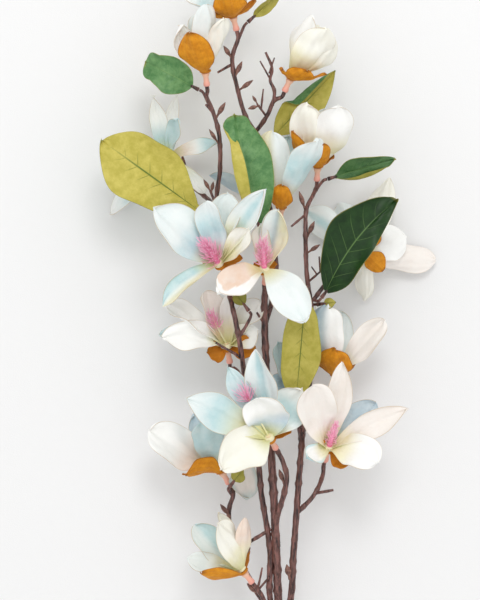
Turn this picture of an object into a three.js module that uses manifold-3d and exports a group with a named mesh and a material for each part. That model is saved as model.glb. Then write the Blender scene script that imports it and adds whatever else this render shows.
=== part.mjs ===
// A spray of artificial magnolia, laid on a table: one forked woody stem with
// sixteen fabric blooms and eleven fabric leaves on it.
// Millimetres, +Z up. +Y runs from the cut end of the stem to the top of the
// spray, the table is the plane z = 0, and the origin is under the middle.
//
// Each bloom is four things on one line, its axis, which leaves the twig:
//   the wooden peg of the twig, the plastic core pushed over it, the orange
//   calyx threaded on the core's pin, and the white petals above the calyx.
// Each leaf has a short sleeve, which is pushed over a peg of its own.

import * as THREE from 'three';
import { mergeVertices } from 'three/addons/utils/BufferGeometryUtils.js';
import Module from 'manifold-3d';

const wasm = await Module();
wasm.setup();

// ---- driving dimensions ------------------------------------------------

const SPRAY_CENTRE = [26.27, -44.71, 0]; // middle of the spray, as the routes below count
const GAP = 0.3; // clearance between pieces that touch

const PETAL_THICK = 0.8;
const SEPAL_THICK = 0.8;
const PETAL_CLAW = 3; // width of a petal where it leaves its ring
const NARROW_PETAL = 33; // a petal under this width is only two facets wide
const SEPAL_CLAW = 5;
const LEAF_THICK = 0.9;

const COLLAR_LENGTH = 12; // from the twig to the calyx
const COLLAR_RADIUS = 3.2;
const COLLAR_TOP_RADIUS = 4.2;
const PEG_RADIUS = 1.3; // wooden peg inside the collar
const PEG_DEPTH = 8;
const BORE_EASE = 0.65; // a bore's corners stand this far off the peg's
const PIN_RADIUS = 2; // plastic pin through calyx and petals
const CALYX_HEIGHT = 2.4;
const CALYX_RADIUS = 6.4;
const RING_HEIGHT = 4; // ring that carries the petals
const RING_RADIUS = 5;
const HUB_SIDES = 5;
const HEART_LENGTH = 25; // cone that carries the stamens
const HEART_RADIUS = 2.6;

const SLEEVE_LENGTH = 8; // leaf sleeve over its peg
const SLEEVE_RADIUS = 2.2;
const LEAF_PEG_RADIUS = 0.8;
const LEAF_PEG_DEPTH = 5;

const TWIG_SIDES = 5;
const TWIG_STEP = 30; // length of one straight bit of a twig
const KNOT_SWELL = 1.18; // every third ring of a twig is a knot

const PETAL_ROWS = [0, 0.38, 0.76, 1];
const SEPAL_ROWS = [0, 0.55, 1];
const LEAF_ROWS = [0, 0.18, 0.42, 0.68, 0.88, 1];
const SMALL_LEAF_ROWS = [0, 0.3, 0.65, 1];

const GOLDEN_ANGLE = Math.PI * (3 - Math.sqrt(5));

// ---- materials ---------------------------------------------------------

const PETAL_CLOTH = { color: 0xf3f3e8, roughness: 0.8, metalness: 0 };
const SEPAL_CLOTH = { color: 0xd8891f, roughness: 0.75, metalness: 0 };
const PINK_PLASTIC = { color: 0xf2a093, roughness: 0.45, metalness: 0 };
const GREEN_LEAF = { color: 0x2f6b3c, roughness: 0.6, metalness: 0 };
const OLIVE_LEAF = { color: 0xb5ad4a, roughness: 0.7, metalness: 0 };
const BROWN_WOOD = { color: 0x6f4a4a, roughness: 0.6, metalness: 0 };

// ---- the blooms --------------------------------------------------------
// base: centre of the collar's top. axis: the way the bloom faces.
// A blade is [tip x, y, z, width, belly, roll]: belly is how far it leaves the
// axis before it turns towards its tip, in degrees, and roll turns its face.

const BLOOMS = [
  {
    base: [-6, 254, 60],
    axis: [-0.25, 0.95, 0.18],
    petals: [
      [-50, 268, 56, 22, -4, -15],
      [-31, 295, 72, 26, 12],
      [-4, 302, 70, 26, 14],
      [16, 288, 60, 24, 12],
      [-16, 298, 48, 26, 14],
      [-17, 296, 86, 24, 14],
    ],
    sepals: [
      [-13, 276, 98, 32, 34],
      [-28, 259, 62, 16, 30],
      [14, 270, 58, 18, 26],
    ],
  },
  {
    base: [-31, 204, 66],
    axis: [-0.1, 0.95, 0.28],
    petals: [
      [-31, 264, 94, 28, 12],
      [-17, 254, 88, 24, 14, -30],
      [-57, 246, 74, 26, 18, -35],
      [-38, 260, 60, 28, 12],
    ],
    sepals: [
      [-47, 238, 114, 34, 29],
      [-30, 226, 40, 16, 8],
    ],
  },
  {
    base: [45, 198, 66],
    axis: [0.42, 0.88, 0.2],
    petals: [
      [67, 253, 78, 36, 24, 40],
      [77, 243, 94, 38, 24],
      [85, 234, 78, 32, 30, -40],
      [72, 246, 60, 32, 24],
    ],
    sepals: [
      [38, 205, 84, 20, 18],
      [58, 209, 100, 24, 24],
      [78, 203, 78, 20, 20],
    ],
  },
  {
    base: [-66, 125, 27],
    axis: [-0.2, 0.6, 0.75],
    petals: [
      [-76, 185, 40, 19, -10],
      [-56, 184, 32, 15, -6],
      [-55, 164, 56, 24, 4],
      [-21, 141, 36, 19, -8],
      [-31, 97, 36, 16, -6],
      [-117, 79, 0.5, 22, -6],
      [-116, 122, 10, 24, -10],
    ],
    sepals: [
      [-84, 134, 10, 15, 6],
      [-82, 116, 22, 15, 4],
      [-62, 114, 31, 16, 8],
    ],
  },
  {
    base: [37, 82, 54],
    axis: [0.05, 0.95, 0.3],
    petals: [
      [24, 151, 68, 27, 6, -30],
      [70, 143, 100, 29, 4, 45],
      [44, 148, 46, 26, 8],
      [-27, 113, 24, 26, 6, 50],
    ],
    sepals: [
      [37, 103, 84, 20, 30],
      [42, 103, 37, 16, 18],
    ],
  },
  {
    base: [70, 119, 52],
    axis: [0.05, 0.95, 0.25],
    petals: [
      [58, 175, 76, 32, 20],
      [87, 174, 80, 35, 20],
      [97, 160, 60, 26, 26],
      [50, 165, 62, 22, 22],
      [76, 174, 62, 24, 12],
    ],
    sepals: [
      [47, 151, 82, 21, 26],
      [72, 146, 90, 19, 24],
      [84, 133, 46, 16, 14],
    ],
  },
  {
    base: [-17, 30, 82],
    axis: [-0.42, 0.58, 0.7],
    petals: [
      [-77, 79, 112, 36, -8],
      [-33, 88, 112, 26, 2],
      [-11, 94, 104, 24, -6],
      [22, 96, 124, 22, -6],
      [-68, -3, 98, 24, -10],
      [7, 61, 122, 20, 8],
    ],
    sepals: [
      [8, 46, 88, 18, -4],
      [-4, 12, 84, 16, -4],
      [-34, 42, 72, 16, 10],
    ],
    stamens: 6,
  },
  {
    base: [22, 24, 78],
    axis: [-0.05, 0.8, 0.6],
    petals: [
      [35, 81, 102, 24, 10],
      [9, 74, 96, 24, 0],
      [-21, 8, 114, 36, 6, -35],
      [54, -20, 106, 38, 6, 20],
    ],
    sepals: [
      [4, 36, 76, 16, 4],
      [42, 38, 78, 16, 4],
    ],
    stamens: 6,
  },
  {
    base: [112, 44, 46],
    axis: [0.15, -0.1, -0.98],
    petals: [
      [136, 111, 16, 28, -10],
      [47, 78, 14, 30, -10],
      [83, 87, 3, 30, -10],
      [152, 57, 0.4, 32, -4],
      [178, 34, 22, 26, -16],
      [113, -2, 12, 18, -8],
    ],
    sepals: [
      [130, 27, 38, 20, -10],
      [92, 58, 38, 18, -10],
      [124, 68, 34, 18, -10],
    ],
  },
  {
    base: [-11, -46, 48],
    axis: [-0.15, 0.9, 0.4],
    petals: [
      [-66, -8, 60, 30, -6, -50],
      [-64, -35, 74, 26, 0, -60],
      [-72, -31, 46, 20, -6, -40],
      [-31, 8, 58, 24, 4],
      [-11, 4, 50, 18, 4],
      [19, -18, 50, 28, 2, 50],
    ],
    sepals: [
      [-29, -48, 58, 13, 0],
      [11, -40, 48, 15, 0],
    ],
    stamens: 6,
  },
  {
    base: [28, -126, 84],
    axis: [-0.35, 0.6, 0.72],
    petals: [
      [15, -43, 112, 30, 4],
      [-11, -60, 100, 22, -4],
      [-47, -91, 116, 34, -6, -35],
      [-16, -152, 116, 40, 2, -45],
      [44, -97, 128, 34, 10, 60],
      [64, -78, 112, 40, 0, 45],
    ],
    sepals: [
      [6, -130, 82, 13, 0],
      [46, -116, 82, 13, 0],
    ],
    stamens: 6,
  },
  {
    base: [-16, -156, 44],
    axis: [-0.5, 0.82, 0.2],
    petals: [
      [-80, -119, 56, 35, 2, -60],
      [-30, -109, 62, 25, 4],
      [-41, -105, 44, 24, 2],
      [7, -180, 36, 28, -66, 90],
    ],
    sepals: [
      [-47, -147, 76, 22, 26, 45],
      [-10, -140, 22, 13, 4],
    ],
  },
  {
    base: [86, -70, 44],
    axis: [0.15, 0.95, 0.2],
    petals: [
      [79, -5, 58, 31, 16, 50],
      [130, -18, 56, 27, 0, 60],
      [68, 1, 38, 20, 4],
      [92, -10, 32, 26, 8],
    ],
    sepals: [
      [83, -44, 76, 32, 24],
      [107, -50, 31, 18, 12],
      [66, -50, 36, 16, 8],
    ],
  },
  {
    base: [79, -136, 60],
    axis: [0.2, 0.75, 0.62],
    petals: [
      [88, -57, 90, 24, 0],
      [58, -80, 86, 30, 2, -40],
      [122, -94, 72, 24, 0, 20],
      [151, -102, 86, 25, -6, 45],
      [122, -142, 94, 38, -2, 50],
      [60, -141, 86, 20, -2, -30],
    ],
    sepals: [
      [66, -127, 62, 15, 4],
      [97, -142, 60, 18, 4],
    ],
    stamens: 6,
  },
  {
    base: [52, -84, 24],
    axis: [-0.1, 0.92, 0.26],
    petals: [
      [35, -39, 40, 31, 4, -70],
      [28, -78, 34, 24, -16, -60],
      [50, -22, 36, 22, 8],
      [70, -48, 20, 20, 4],
    ],
    sepals: [
      [44, -62, 5, 13, 4],
      [60, -62, 10, 13, 6],
    ],
  },
  {
    base: [4, -246, 56],
    axis: [-0.6, 0.75, 0.25],
    petals: [
      [-38, -204, 62, 30, 18, -20],
      [-21, -205, 86, 28, 26],
      [-16, -190, 56, 18, 12],
      [1, -197, 76, 20, 6, -50],
      [-47, -235, 70, 22, 8, -45],
    ],
    sepals: [
      [-34, -241, 92, 20, 30, 40],
      [6, -226, 42, 13, 8],
    ],
  },
];

// ---- the leaves --------------------------------------------------------
// from: where its stalk leaves the twig. base: where the sleeve starts.
// lift: how far the middle arches up. olive: its pale underside is on top.
// blunt: width of a blunt tip, as a share of the leaf's width. fullest: 0.9 has
// the widest place just below the middle, and 1.2 has it above.

const LEAVES = [
  {
    from: [-26, 172, 60], base: [-37, 189, 64], tip: [-85, 214, 62],
    width: 33, lift: 14, roll: -10, blunt: 0.7,
  },
  {
    from: [-2, 233, 58], base: [7, 250, 60], tip: [44, 284, 62],
    width: 22, lift: 4, roll: 60, olive: true,
  },
  {
    from: [18, 138, 51], base: [26, 143, 50], tip: [86, 207, 50],
    width: 34, lift: -6, roll: 30, olive: true,
  },
  {
    from: [-20, 72, 54], base: [-32, 77, 62], tip: [-124, 143, 72],
    width: 64, lift: 14, roll: 0, fullest: 1.2, olive: true,
  },
  { from: [30, 56, 43], base: [18, 62, 62], tip: [-5, 166, 72], width: 40, lift: 22, roll: 12 },
  { from: [67, 97, 51], base: [79, 109, 56], tip: [140, 127, 58], width: 29, lift: 8, roll: 35 },
  { from: [65, 0, 67], base: [73, 2, 72], tip: [141, 90, 84], width: 46, lift: 16, roll: 0 },
  {
    from: [62, 12, 68], base: [59, 7, 74], tip: [50, -94, 70],
    width: 37, lift: 4, roll: 0, olive: true,
  },
  {
    from: [-1, -34, 81], base: [8, -10, 80], tip: [-5, 8, 80],
    width: 13, lift: 2, roll: 0, small: true,
  },
  {
    from: [64, -10, 65], base: [69, -4, 62], tip: [86, -2, 70],
    width: 10, lift: 2, roll: 0, small: true,
  },
  {
    from: [-7, -177, 42], base: [-9, -168, 52], tip: [3, -152, 66],
    width: 13, lift: 2, roll: 0, small: true,
  },
];

// ---- the wood ----------------------------------------------------------
// Each twig is a list of points along its middle, and its two end radii.

const TWIGS = [
  // main stem, from its cut end to where the spray begins
  { route: [[36, -392, 4.3], [36, -350, 6], [36, -312, 20], [35, -275, 42]], from: 4.8, to: 4 },
  // middle stem, up to the bloom at the heart of the spray
  {
    route: [[36, -302, 26], [34, -258, 48], [32, -212, 58], [30, -170, 60], [28, -135, 58],
      [25, -90, 58], [23, -45, 64], [22, -5, 66]],
    from: 4,
    to: 3,
    bloom: 7,
  },
  // left stem, in front of the tenth bloom and on to the seventh
  {
    route: [[36, -300, 26], [27, -268, 46], [27, -226, 56], [19, -172, 60], [16, -140, 60],
      [8, -96, 64], [1, -46, 80], [-4, -18, 82], [-9, 4, 76]],
    from: 2.8,
    to: 2.2,
    bloom: 6,
  },
  // its upper part, past the seventh bloom to the second
  {
    route: [[-7, -4, 79], [-15, 24, 62], [-20, 62, 54], [-21, 94, 56], [-18, 118, 58],
      [-19, 150, 60], [-25, 171, 60], [-30, 184, 60]],
    from: 2.2,
    to: 1.9,
    bloom: 1,
  },
  // from behind the eighth bloom to the top
  {
    route: [[23, -20, 65], [32, 12, 48], [31, 50, 42], [28, 76, 38], [23, 106, 41], [18, 140, 51],
      [16, 148, 55], [6, 163, 57], [-3, 193, 58], [-7, 218, 58], [-2, 234, 58]],
    from: 2.5,
    to: 1.9,
    bloom: 0,
  },
  // thin twig on the right of the top, with the third bloom
  { route: [[14, 151, 56], [25, 167, 58], [31, 180, 60]], from: 2, to: 1.8, bloom: 2 },
  {
    route: [[29, 175, 60], [31, 188, 61], [27, 198, 60], [29, 208, 60], [23, 223, 60]],
    from: 1.6, to: 1.1,
  },
  { route: [[24, 165, 58], [15, 177, 60]], from: 1.2, to: 0.8 },
  { route: [[19, 172, 59], [21, 190, 61]], from: 1, to: 0.7 },
  // right stem, with the sixth bloom at its end
  {
    route: [[37, -308, 22], [46, -268, 46], [48, -232, 54], [51, -189, 58], [54, -149, 60],
      [57, -113, 58], [62, -80, 54], [64, -40, 58], [64, -8, 66], [60, 23, 68], [59, 60, 66],
      [60, 82, 60], [66, 95, 52]],
    from: 3.3,
    to: 1.8,
    bloom: 5,
  },
  { route: [[56, -122, 60], [58, -106, 66]], from: 2, to: 1.4 },
  { route: [[55, -120, 60], [51, -108, 62]], from: 1.6, to: 1.1 },
  // side twigs to single blooms
  {
    route: [[34, -222, 58], [33, -198, 62], [39, -176, 70], [42, -158, 72], [38, -144, 72]],
    from: 2.6, to: 2.2, bloom: 10,
  },
  {
    route: [[51, -192, 58], [64, -179, 58], [71, -168, 54], [75, -156, 48]],
    from: 2.2, to: 1.9, bloom: 13,
  },
  { route: [[66, 0, 67], [80, 18, 66], [96, 34, 68], [107, 43, 66]], from: 1.9, to: 1.8, bloom: 8 },
  { route: [[57, -118, 58], [66, -108, 44], [79, -94, 38]], from: 2, to: 1.9, bloom: 12 },
  { route: [[55, -130, 58], [54, -118, 38], [54, -104, 24]], from: 2, to: 1.9, bloom: 14 },
  {
    route: [[28, -285, 36], [10, -255, 32], [-6, -220, 36], [-10, -190, 42], [-6, -176, 42]],
    from: 2.4, to: 2, bloom: 11,
  },
  { route: [[34, -294, 32], [24, -276, 44], [18, -264, 50]], from: 2.2, to: 1.9, bloom: 15 },
  { route: [[6, -80, 69], [0, -68, 48], [-5, -62, 40]], from: 1.9, to: 1.8, bloom: 9 },
  { route: [[31, 46, 43], [35, 60, 47]], from: 1.9, to: 1.8, bloom: 4 },
  {
    route: [[-20, 84, 55], [-26, 88, 36], [-34, 96, 20], [-47, 105, 12]],
    from: 2.2, to: 1.8, bloom: 3,
  },
];

// Short side twigs and stubs: start, end, and the two radii.
const STUBS = [
  [[-6, 213, 58], [-20, 205, 54], 1.3, 1],
  [[-21, 84, 55], [-27, 99, 51], 1.4, 1.1],
  [[27, 199, 60], [18, 215, 62], 0.9, 0.6],
  [[26.3, 204, 60], [31, 218, 63], 0.9, 0.6],
  [[2, -52, 79], [-22, -38, 82], 1.3, 1],
  [[22, -22, 65], [15, -11, 68], 1.2, 0.8],
  [[22, -14, 66], [29, -6, 68], 1.2, 0.8],
  [[59, 77, 62], [46, 66, 68], 1.2, 0.9],
  [[61, 16, 68], [74, 27, 72], 1.1, 0.8],
  [[72, 25, 71], [71, 39, 75], 0.9, 0.7],
  [[69, 23, 71], [64, 30, 73], 0.8, 0.6],
  [[68, -174, 56], [84, -171, 62], 1.6, 1.1],
  [[58, -186, 58], [67, -174, 64], 1.2, 0.9],
  [[28, -206, 58], [7, -219, 56], 1.7, 1.5],
  [[16, -262, 51], [26, -250, 56], 1.2, 0.8],
  [[16, -261, 51], [20, -241, 58], 1, 0.8],
  [[-24, 168, 60], [-31, 176, 62], 1.2, 1],
  [[18, -150, 60], [13, -143, 62], 1.2, 0.9],
];

// Buds: foot, tip and radius.
const BUDS = [
  [[-22, 163, 60], [-13, 178, 64], 2.4],
  [[-19, 140, 59], [-28, 154, 60], 1.8],
  [[-26, 96, 51], [-24, 107, 54], 1.8],
  [[-26, 97, 51], [-33, 109, 53], 1.8],
  [[-48, 106, 12], [-53, 134, 20], 2.2],
  [[-7, 217, 58], [-15, 229, 60], 2.2],
  [[-5, 200, 58], [2, 215, 60], 2.4],
  [[-2, 188, 58], [12, 198, 62], 2.2],
  [[18, 175, 60], [7, 172, 60], 2],
  [[59, 80, 60], [53, 98, 66], 2.2],
  [[60, 56, 66], [67, 71, 70], 2.4],
  [[60, 42, 67], [72, 50, 70], 2],
  [[40, -166, 70], [35, -152, 66], 2.4],
  [[-9, -196, 42], [-18, -184, 48], 2.2],
  [[20, -266, 50], [6, -256, 44], 3.2],
  [[7, -217, 56], [6, -229, 54], 3.2],
  [[45, -252, 51], [42, -238, 56], 3],
  [[16, 176, 60], [11, 184, 62], 1.4],
];

// ---- small helpers -----------------------------------------------------

const vec = (xyz) => new THREE.Vector3(...xyz);

// A closed three.js geometry as a manifold solid.
function solid(geometry) {
  const bare = geometry.clone();
  bare.deleteAttribute('normal');
  bare.deleteAttribute('uv');
  const merged = mergeVertices(bare, 1e-4);
  const corners = merged.index.array;
  const kept = [];
  for (let i = 0; i < corners.length; i += 3) {
    const [a, b, c] = corners.subarray(i, i + 3);
    if (a !== b && b !== c && c !== a) {
      kept.push(a, b, c);
    }
  }
  return new wasm.Manifold(new wasm.Mesh({
    numProp: 3,
    vertProperties: merged.attributes.position.array,
    triVerts: Uint32Array.from(kept),
  }));
}

function fuse(solids) {
  return solids.reduce((whole, piece) => whole.add(piece));
}

// A named mesh from a solid, standing at its place in the spray.
function meshOf(name, body, cloth, place) {
  const { vertProperties, triVerts } = body.getMesh();
  const geometry = new THREE.BufferGeometry();
  geometry.setAttribute('position', new THREE.BufferAttribute(vertProperties, 3));
  geometry.setIndex(new THREE.BufferAttribute(triVerts, 1));
  const mesh = new THREE.Mesh(geometry, new THREE.MeshStandardMaterial(cloth));
  mesh.name = name;
  mesh.position.copy(place);
  return mesh;
}

// What lies below the table is cut off, which leaves a small flat spot there.
function aboveTable(body, place) {
  const below = new THREE.BoxGeometry(2000, 2000, 100);
  below.translate(0, 0, -50 - place.z);
  return body.subtract(solid(below));
}

// Turns a geometry built along +Y so that it runs along a direction from a point.
function aim(geometry, from, direction) {
  const turn = new THREE.Quaternion().setFromUnitVectors(new THREE.Vector3(0, 1, 0), direction);
  geometry.applyQuaternion(turn);
  geometry.translate(from.x, from.y, from.z);
  return geometry;
}

// ---- blades: petals, sepals and leaves ---------------------------------

// A thin closed sheet: surface(s, t) gives its middle, s across from -1 to 1
// and t along from 0 to 1. Both faces are split into triangles alike.
function sheet(surface, across, rows, thick) {
  const along = rows.length - 1;
  const plane = new THREE.PlaneGeometry(2, 1, across, along);
  const face = plane.index.array;
  const count = plane.attributes.position.count;
  const positions = new Float32Array(count * 6);
  for (let i = 0; i < count; i += 1) {
    const s = plane.attributes.position.getX(i);
    const t = rows[along - Math.floor(i / (across + 1))];
    const middle = surface(s, t);
    const sideways = surface(s + 0.01, t).sub(surface(s - 0.01, t));
    const forwards = surface(s, t + 0.01).sub(surface(s, t - 0.01));
    const normal = sideways.cross(forwards).normalize();
    middle.clone().addScaledVector(normal, thick / 2).toArray(positions, i * 3);
    middle.clone().addScaledVector(normal, -thick / 2).toArray(positions, (count + i) * 3);
  }
  const corners = [...face];
  for (let i = 0; i < face.length; i += 3) {
    corners.push(count + face[i], count + face[i + 2], count + face[i + 1]);
  }
  const border = [];
  const lastRow = along * (across + 1);
  for (let i = 0; i < across; i += 1) border.push(lastRow + i);
  for (let j = along; j > 0; j -= 1) border.push(j * (across + 1) + across);
  for (let i = across; i > 0; i -= 1) border.push(i);
  for (let j = 0; j < along; j += 1) border.push(j * (across + 1));
  border.forEach((here, i) => {
    const next = border[(i + 1) % border.length];
    corners.push(count + here, count + next, next);
    corners.push(count + here, next, here);
  });
  const geometry = new THREE.BufferGeometry();
  geometry.setAttribute('position', new THREE.BufferAttribute(positions, 3));
  geometry.setIndex(corners);
  return geometry;
}

// The middle surface of a blade that follows a curve. side is the way across
// at its root, width(t) its half width, cup(t) how far its edges turn up, in
// radians, and roll how far it turns about the curve in its first part.
function bladeSurface(curve, side, width, cup, roll) {
  return (s, t) => {
    const inside = THREE.MathUtils.clamp(t, 0, 1);
    const tangent = curve.getTangent(inside);
    const point = curve.getPoint(inside).addScaledVector(tangent, (t - inside) * 10);
    const across = side.clone().applyAxisAngle(tangent, roll * Math.min(1, inside / 0.4));
    const inward = tangent.clone().cross(across).normalize();
    const half = width(inside);
    const bend = cup(inside);
    point.addScaledVector(across, (half * Math.sin(bend * s)) / bend);
    point.addScaledVector(inward, (half * (1 - Math.cos(bend * s))) / bend);
    return point;
  };
}

// Half width of a petal or sepal: a narrow claw, widest beyond its middle, and
// a blunt tip.
function clawed(width, claw, widest, tip) {
  return (t) => {
    if (t < widest) {
      const rise = Math.sin((Math.PI / 2) * (t / widest));
      return (width / 2) * (claw + (1 - claw) * rise);
    }
    const fall = (t - widest) / (1 - widest);
    return (width / 2) * Math.sqrt(1 - (1 - tip * tip) * fall * fall);
  };
}

// A blade of a bloom, from its ring to its tip. Points count from the base.
function ringBlade(axis, tip, height, radius, belly) {
  const rise = axis.dot(tip);
  const outward = tip.clone().addScaledVector(axis, -rise).normalize();
  const root = axis.clone().multiplyScalar(height).addScaledVector(outward, radius);
  const reach = tip.clone().sub(root);
  const lean = Math.atan2(reach.dot(outward), reach.dot(axis)) + THREE.MathUtils.degToRad(belly);
  const bow = root.clone();
  bow.addScaledVector(axis, Math.cos(lean) * reach.length() * 0.5);
  bow.addScaledVector(outward, Math.sin(lean) * reach.length() * 0.5);
  const side = axis.clone().cross(outward).normalize();
  return { curve: new THREE.QuadraticBezierCurve3(root, bow, tip), side };
}

function petal(bloom, axis, [x, y, z, width, belly = 0, roll = 0]) {
  const tip = vec([x, y, z]).sub(vec(bloom.base));
  const height = CALYX_HEIGHT + 2 * GAP + RING_HEIGHT * 0.5;
  const { curve, side } = ringBlade(axis, tip, height, RING_RADIUS - 1.2, belly);
  const half = clawed(width, PETAL_CLAW / width, 0.62, 0.3);
  const cup = (t) => 1.1 - 0.55 * t;
  const surface = bladeSurface(curve, side, half, cup, THREE.MathUtils.degToRad(roll));
  return solid(sheet(surface, width < NARROW_PETAL ? 2 : 3, PETAL_ROWS, PETAL_THICK));
}

function sepal(bloom, axis, [x, y, z, width, belly = 0, roll = 0]) {
  const tip = vec([x, y, z]).sub(vec(bloom.base));
  const height = GAP + CALYX_HEIGHT * 0.5;
  const { curve, side } = ringBlade(axis, tip, height, CALYX_RADIUS - 1.7, belly);
  const half = clawed(width, SEPAL_CLAW / width, 0.5, 0.4);
  const cup = () => 0.7;
  const surface = bladeSurface(curve, side, half, cup, THREE.MathUtils.degToRad(roll));
  return solid(sheet(surface, 2, SEPAL_ROWS, SEPAL_THICK));
}

// ---- parts of a bloom --------------------------------------------------

// A ring on the bloom's axis, between two heights.
function ring(axis, from, to, radius) {
  const bore = PIN_RADIUS + GAP * 1.5;
  const profile = [
    new THREE.Vector2(bore, from),
    new THREE.Vector2(radius, from),
    new THREE.Vector2(radius, to),
    new THREE.Vector2(bore, to),
    new THREE.Vector2(bore, from),
  ];
  return solid(aim(new THREE.LatheGeometry(profile, HUB_SIDES), new THREE.Vector3(), axis));
}

// The plastic core: a collar with a blind hole for the peg, and the pin.
function core(axis) {
  const pinTop = 3 * GAP + CALYX_HEIGHT + RING_HEIGHT + 1;
  const profile = [
    new THREE.Vector2(0, PEG_DEPTH - COLLAR_LENGTH),
    new THREE.Vector2(PEG_RADIUS + BORE_EASE, PEG_DEPTH - COLLAR_LENGTH),
    new THREE.Vector2(PEG_RADIUS + BORE_EASE, -COLLAR_LENGTH),
    new THREE.Vector2(COLLAR_RADIUS, -COLLAR_LENGTH),
    new THREE.Vector2(COLLAR_TOP_RADIUS, 0),
    new THREE.Vector2(PIN_RADIUS, 0),
    new THREE.Vector2(PIN_RADIUS, pinTop),
    new THREE.Vector2(0, pinTop),
  ];
  return solid(aim(new THREE.LatheGeometry(profile, HUB_SIDES), new THREE.Vector3(), axis));
}

// A slim cone of pink threads on the end of the pin.
function stamens(axis, count) {
  const foot = 3 * GAP + CALYX_HEIGHT + RING_HEIGHT;
  const side = new THREE.Vector3(1, 0, 0).cross(axis).normalize();
  const heart = new THREE.CylinderGeometry(1, HEART_RADIUS, HEART_LENGTH, 5);
  heart.translate(0, foot + HEART_LENGTH / 2, 0);
  const pieces = [solid(aim(heart, new THREE.Vector3(), axis))];
  for (let i = 0; i < count; i += 1) {
    const share = (i + 0.5) / count;
    const spread = 0.95 - 0.5 * share;
    const around = side.clone().applyAxisAngle(axis, i * GOLDEN_ANGLE);
    const way = axis.clone().multiplyScalar(Math.cos(spread)).addScaledVector(around, Math.sin(spread));
    const length = 11 - 2 * share;
    const thread = new THREE.CylinderGeometry(0.4, 0.6, length, 3);
    const start = axis.clone().multiplyScalar(foot + HEART_LENGTH * (0.15 + 0.8 * share));
    pieces.push(solid(aim(thread.translate(0, length / 2, 0), start, way)));
  }
  return fuse(pieces);
}

function bloomMeshes(bloom, index) {
  const base = vec(bloom.base);
  const axis = vec(bloom.axis).normalize();
  const name = `bloom_${String(index + 1).padStart(2, '0')}`;
  const calyxTop = GAP + CALYX_HEIGHT;
  const ringTop = calyxTop + GAP + RING_HEIGHT;
  const coreBody = bloom.stamens ? core(axis).add(stamens(axis, bloom.stamens)) : core(axis);
  const calyx = fuse([
    ring(axis, GAP, calyxTop, CALYX_RADIUS),
    ...bloom.sepals.map((blade) => sepal(bloom, axis, blade)),
  ]);
  const petals = fuse([
    ring(axis, calyxTop + GAP, ringTop, RING_RADIUS),
    ...bloom.petals.map((blade) => petal(bloom, axis, blade)),
  ]);
  return [
    meshOf(`${name}_core`, coreBody, PINK_PLASTIC, base),
    meshOf(`${name}_calyx`, aboveTable(calyx, base), SEPAL_CLOTH, base),
    meshOf(`${name}_petals`, aboveTable(petals, base), PETAL_CLOTH, base),
  ];
}

// ---- leaves ------------------------------------------------------------

// The way a leaf leaves its peg.
function leafWay(leaf) {
  const reach = vec(leaf.tip).sub(vec(leaf.base));
  const flat = reach.clone().setZ(0).length();
  return reach.setZ(reach.z + Math.max(leaf.lift, 0) * 0.6 * Math.min(1, flat / 60)).normalize();
}

function leafMesh(leaf, index) {
  const base = vec(leaf.base);
  const way = leafWay(leaf);
  const tip = vec(leaf.tip).sub(base);
  const start = way.clone().multiplyScalar(SLEEVE_LENGTH - 1);
  const bow = start.clone().add(tip).multiplyScalar(0.5).setZ((start.z + tip.z) / 2 + leaf.lift * 1.4);
  const curve = new THREE.QuadraticBezierCurve3(start, bow, tip);
  const side = new THREE.Vector3(0, 0, 1).cross(tip).normalize();
  const end = leaf.blunt ?? 0.1;
  const half = (t) => {
    const body = Math.sin(Math.PI * t ** (leaf.fullest ?? 0.9)) ** 0.8;
    return (leaf.width / 2) * Math.max(body, t < 0.5 ? 0.1 : end);
  };
  const cup = () => 0.5;
  const surface = bladeSurface(curve, side, half, cup, THREE.MathUtils.degToRad(leaf.roll));
  const rows = leaf.small ? SMALL_LEAF_ROWS : LEAF_ROWS;
  const blade = solid(sheet(surface, leaf.small ? 2 : 3, rows, LEAF_THICK));
  const bore = LEAF_PEG_RADIUS + BORE_EASE;
  const profile = [
    new THREE.Vector2(0, LEAF_PEG_DEPTH),
    new THREE.Vector2(bore, LEAF_PEG_DEPTH),
    new THREE.Vector2(bore, 0),
    new THREE.Vector2(SLEEVE_RADIUS, 0),
    new THREE.Vector2(SLEEVE_RADIUS, SLEEVE_LENGTH - 1),
    new THREE.Vector2(0, SLEEVE_LENGTH + 2),
  ];
  const sleeve = solid(aim(new THREE.LatheGeometry(profile, HUB_SIDES), new THREE.Vector3(), way));
  const name = `leaf_${String(index + 1).padStart(2, '0')}`;
  const cloth = leaf.olive || leaf.small ? OLIVE_LEAF : GREEN_LEAF;
  return meshOf(name, aboveTable(sleeve.add(blade), base), cloth, base);
}

// ---- wood --------------------------------------------------------------

// A turned rod bent along a route. stations: [length along, radius] pairs.
function rod(points, stations, sides) {
  const curve = new THREE.CatmullRomCurve3(points, false, 'centripetal');
  const length = curve.getLength();
  const last = stations.length - 1;
  const profile = [new THREE.Vector2(0, 0)];
  stations.forEach(([, radius], i) => profile.push(new THREE.Vector2(radius, i)));
  profile.push(new THREE.Vector2(0, last));
  const turned = new THREE.LatheGeometry(profile, sides);
  const normal = new THREE.Vector3(1, 0, 0.3);
  const frames = stations.map(([along]) => {
    const share = Math.min(along / length, 1);
    const tangent = curve.getTangentAt(share);
    normal.addScaledVector(tangent, -normal.dot(tangent)).normalize();
    const across = normal.clone().cross(tangent);
    return { point: curve.getPointAt(share), normal: normal.clone(), across };
  });
  const places = turned.attributes.position;
  for (let i = 0; i < places.count; i += 1) {
    const frame = frames[Math.round(places.getY(i))];
    const point = frame.point.clone();
    point.addScaledVector(frame.normal, places.getX(i));
    point.addScaledVector(frame.across, places.getZ(i));
    places.setXYZ(i, point.x, point.y, point.z);
  }
  return solid(turned);
}

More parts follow.
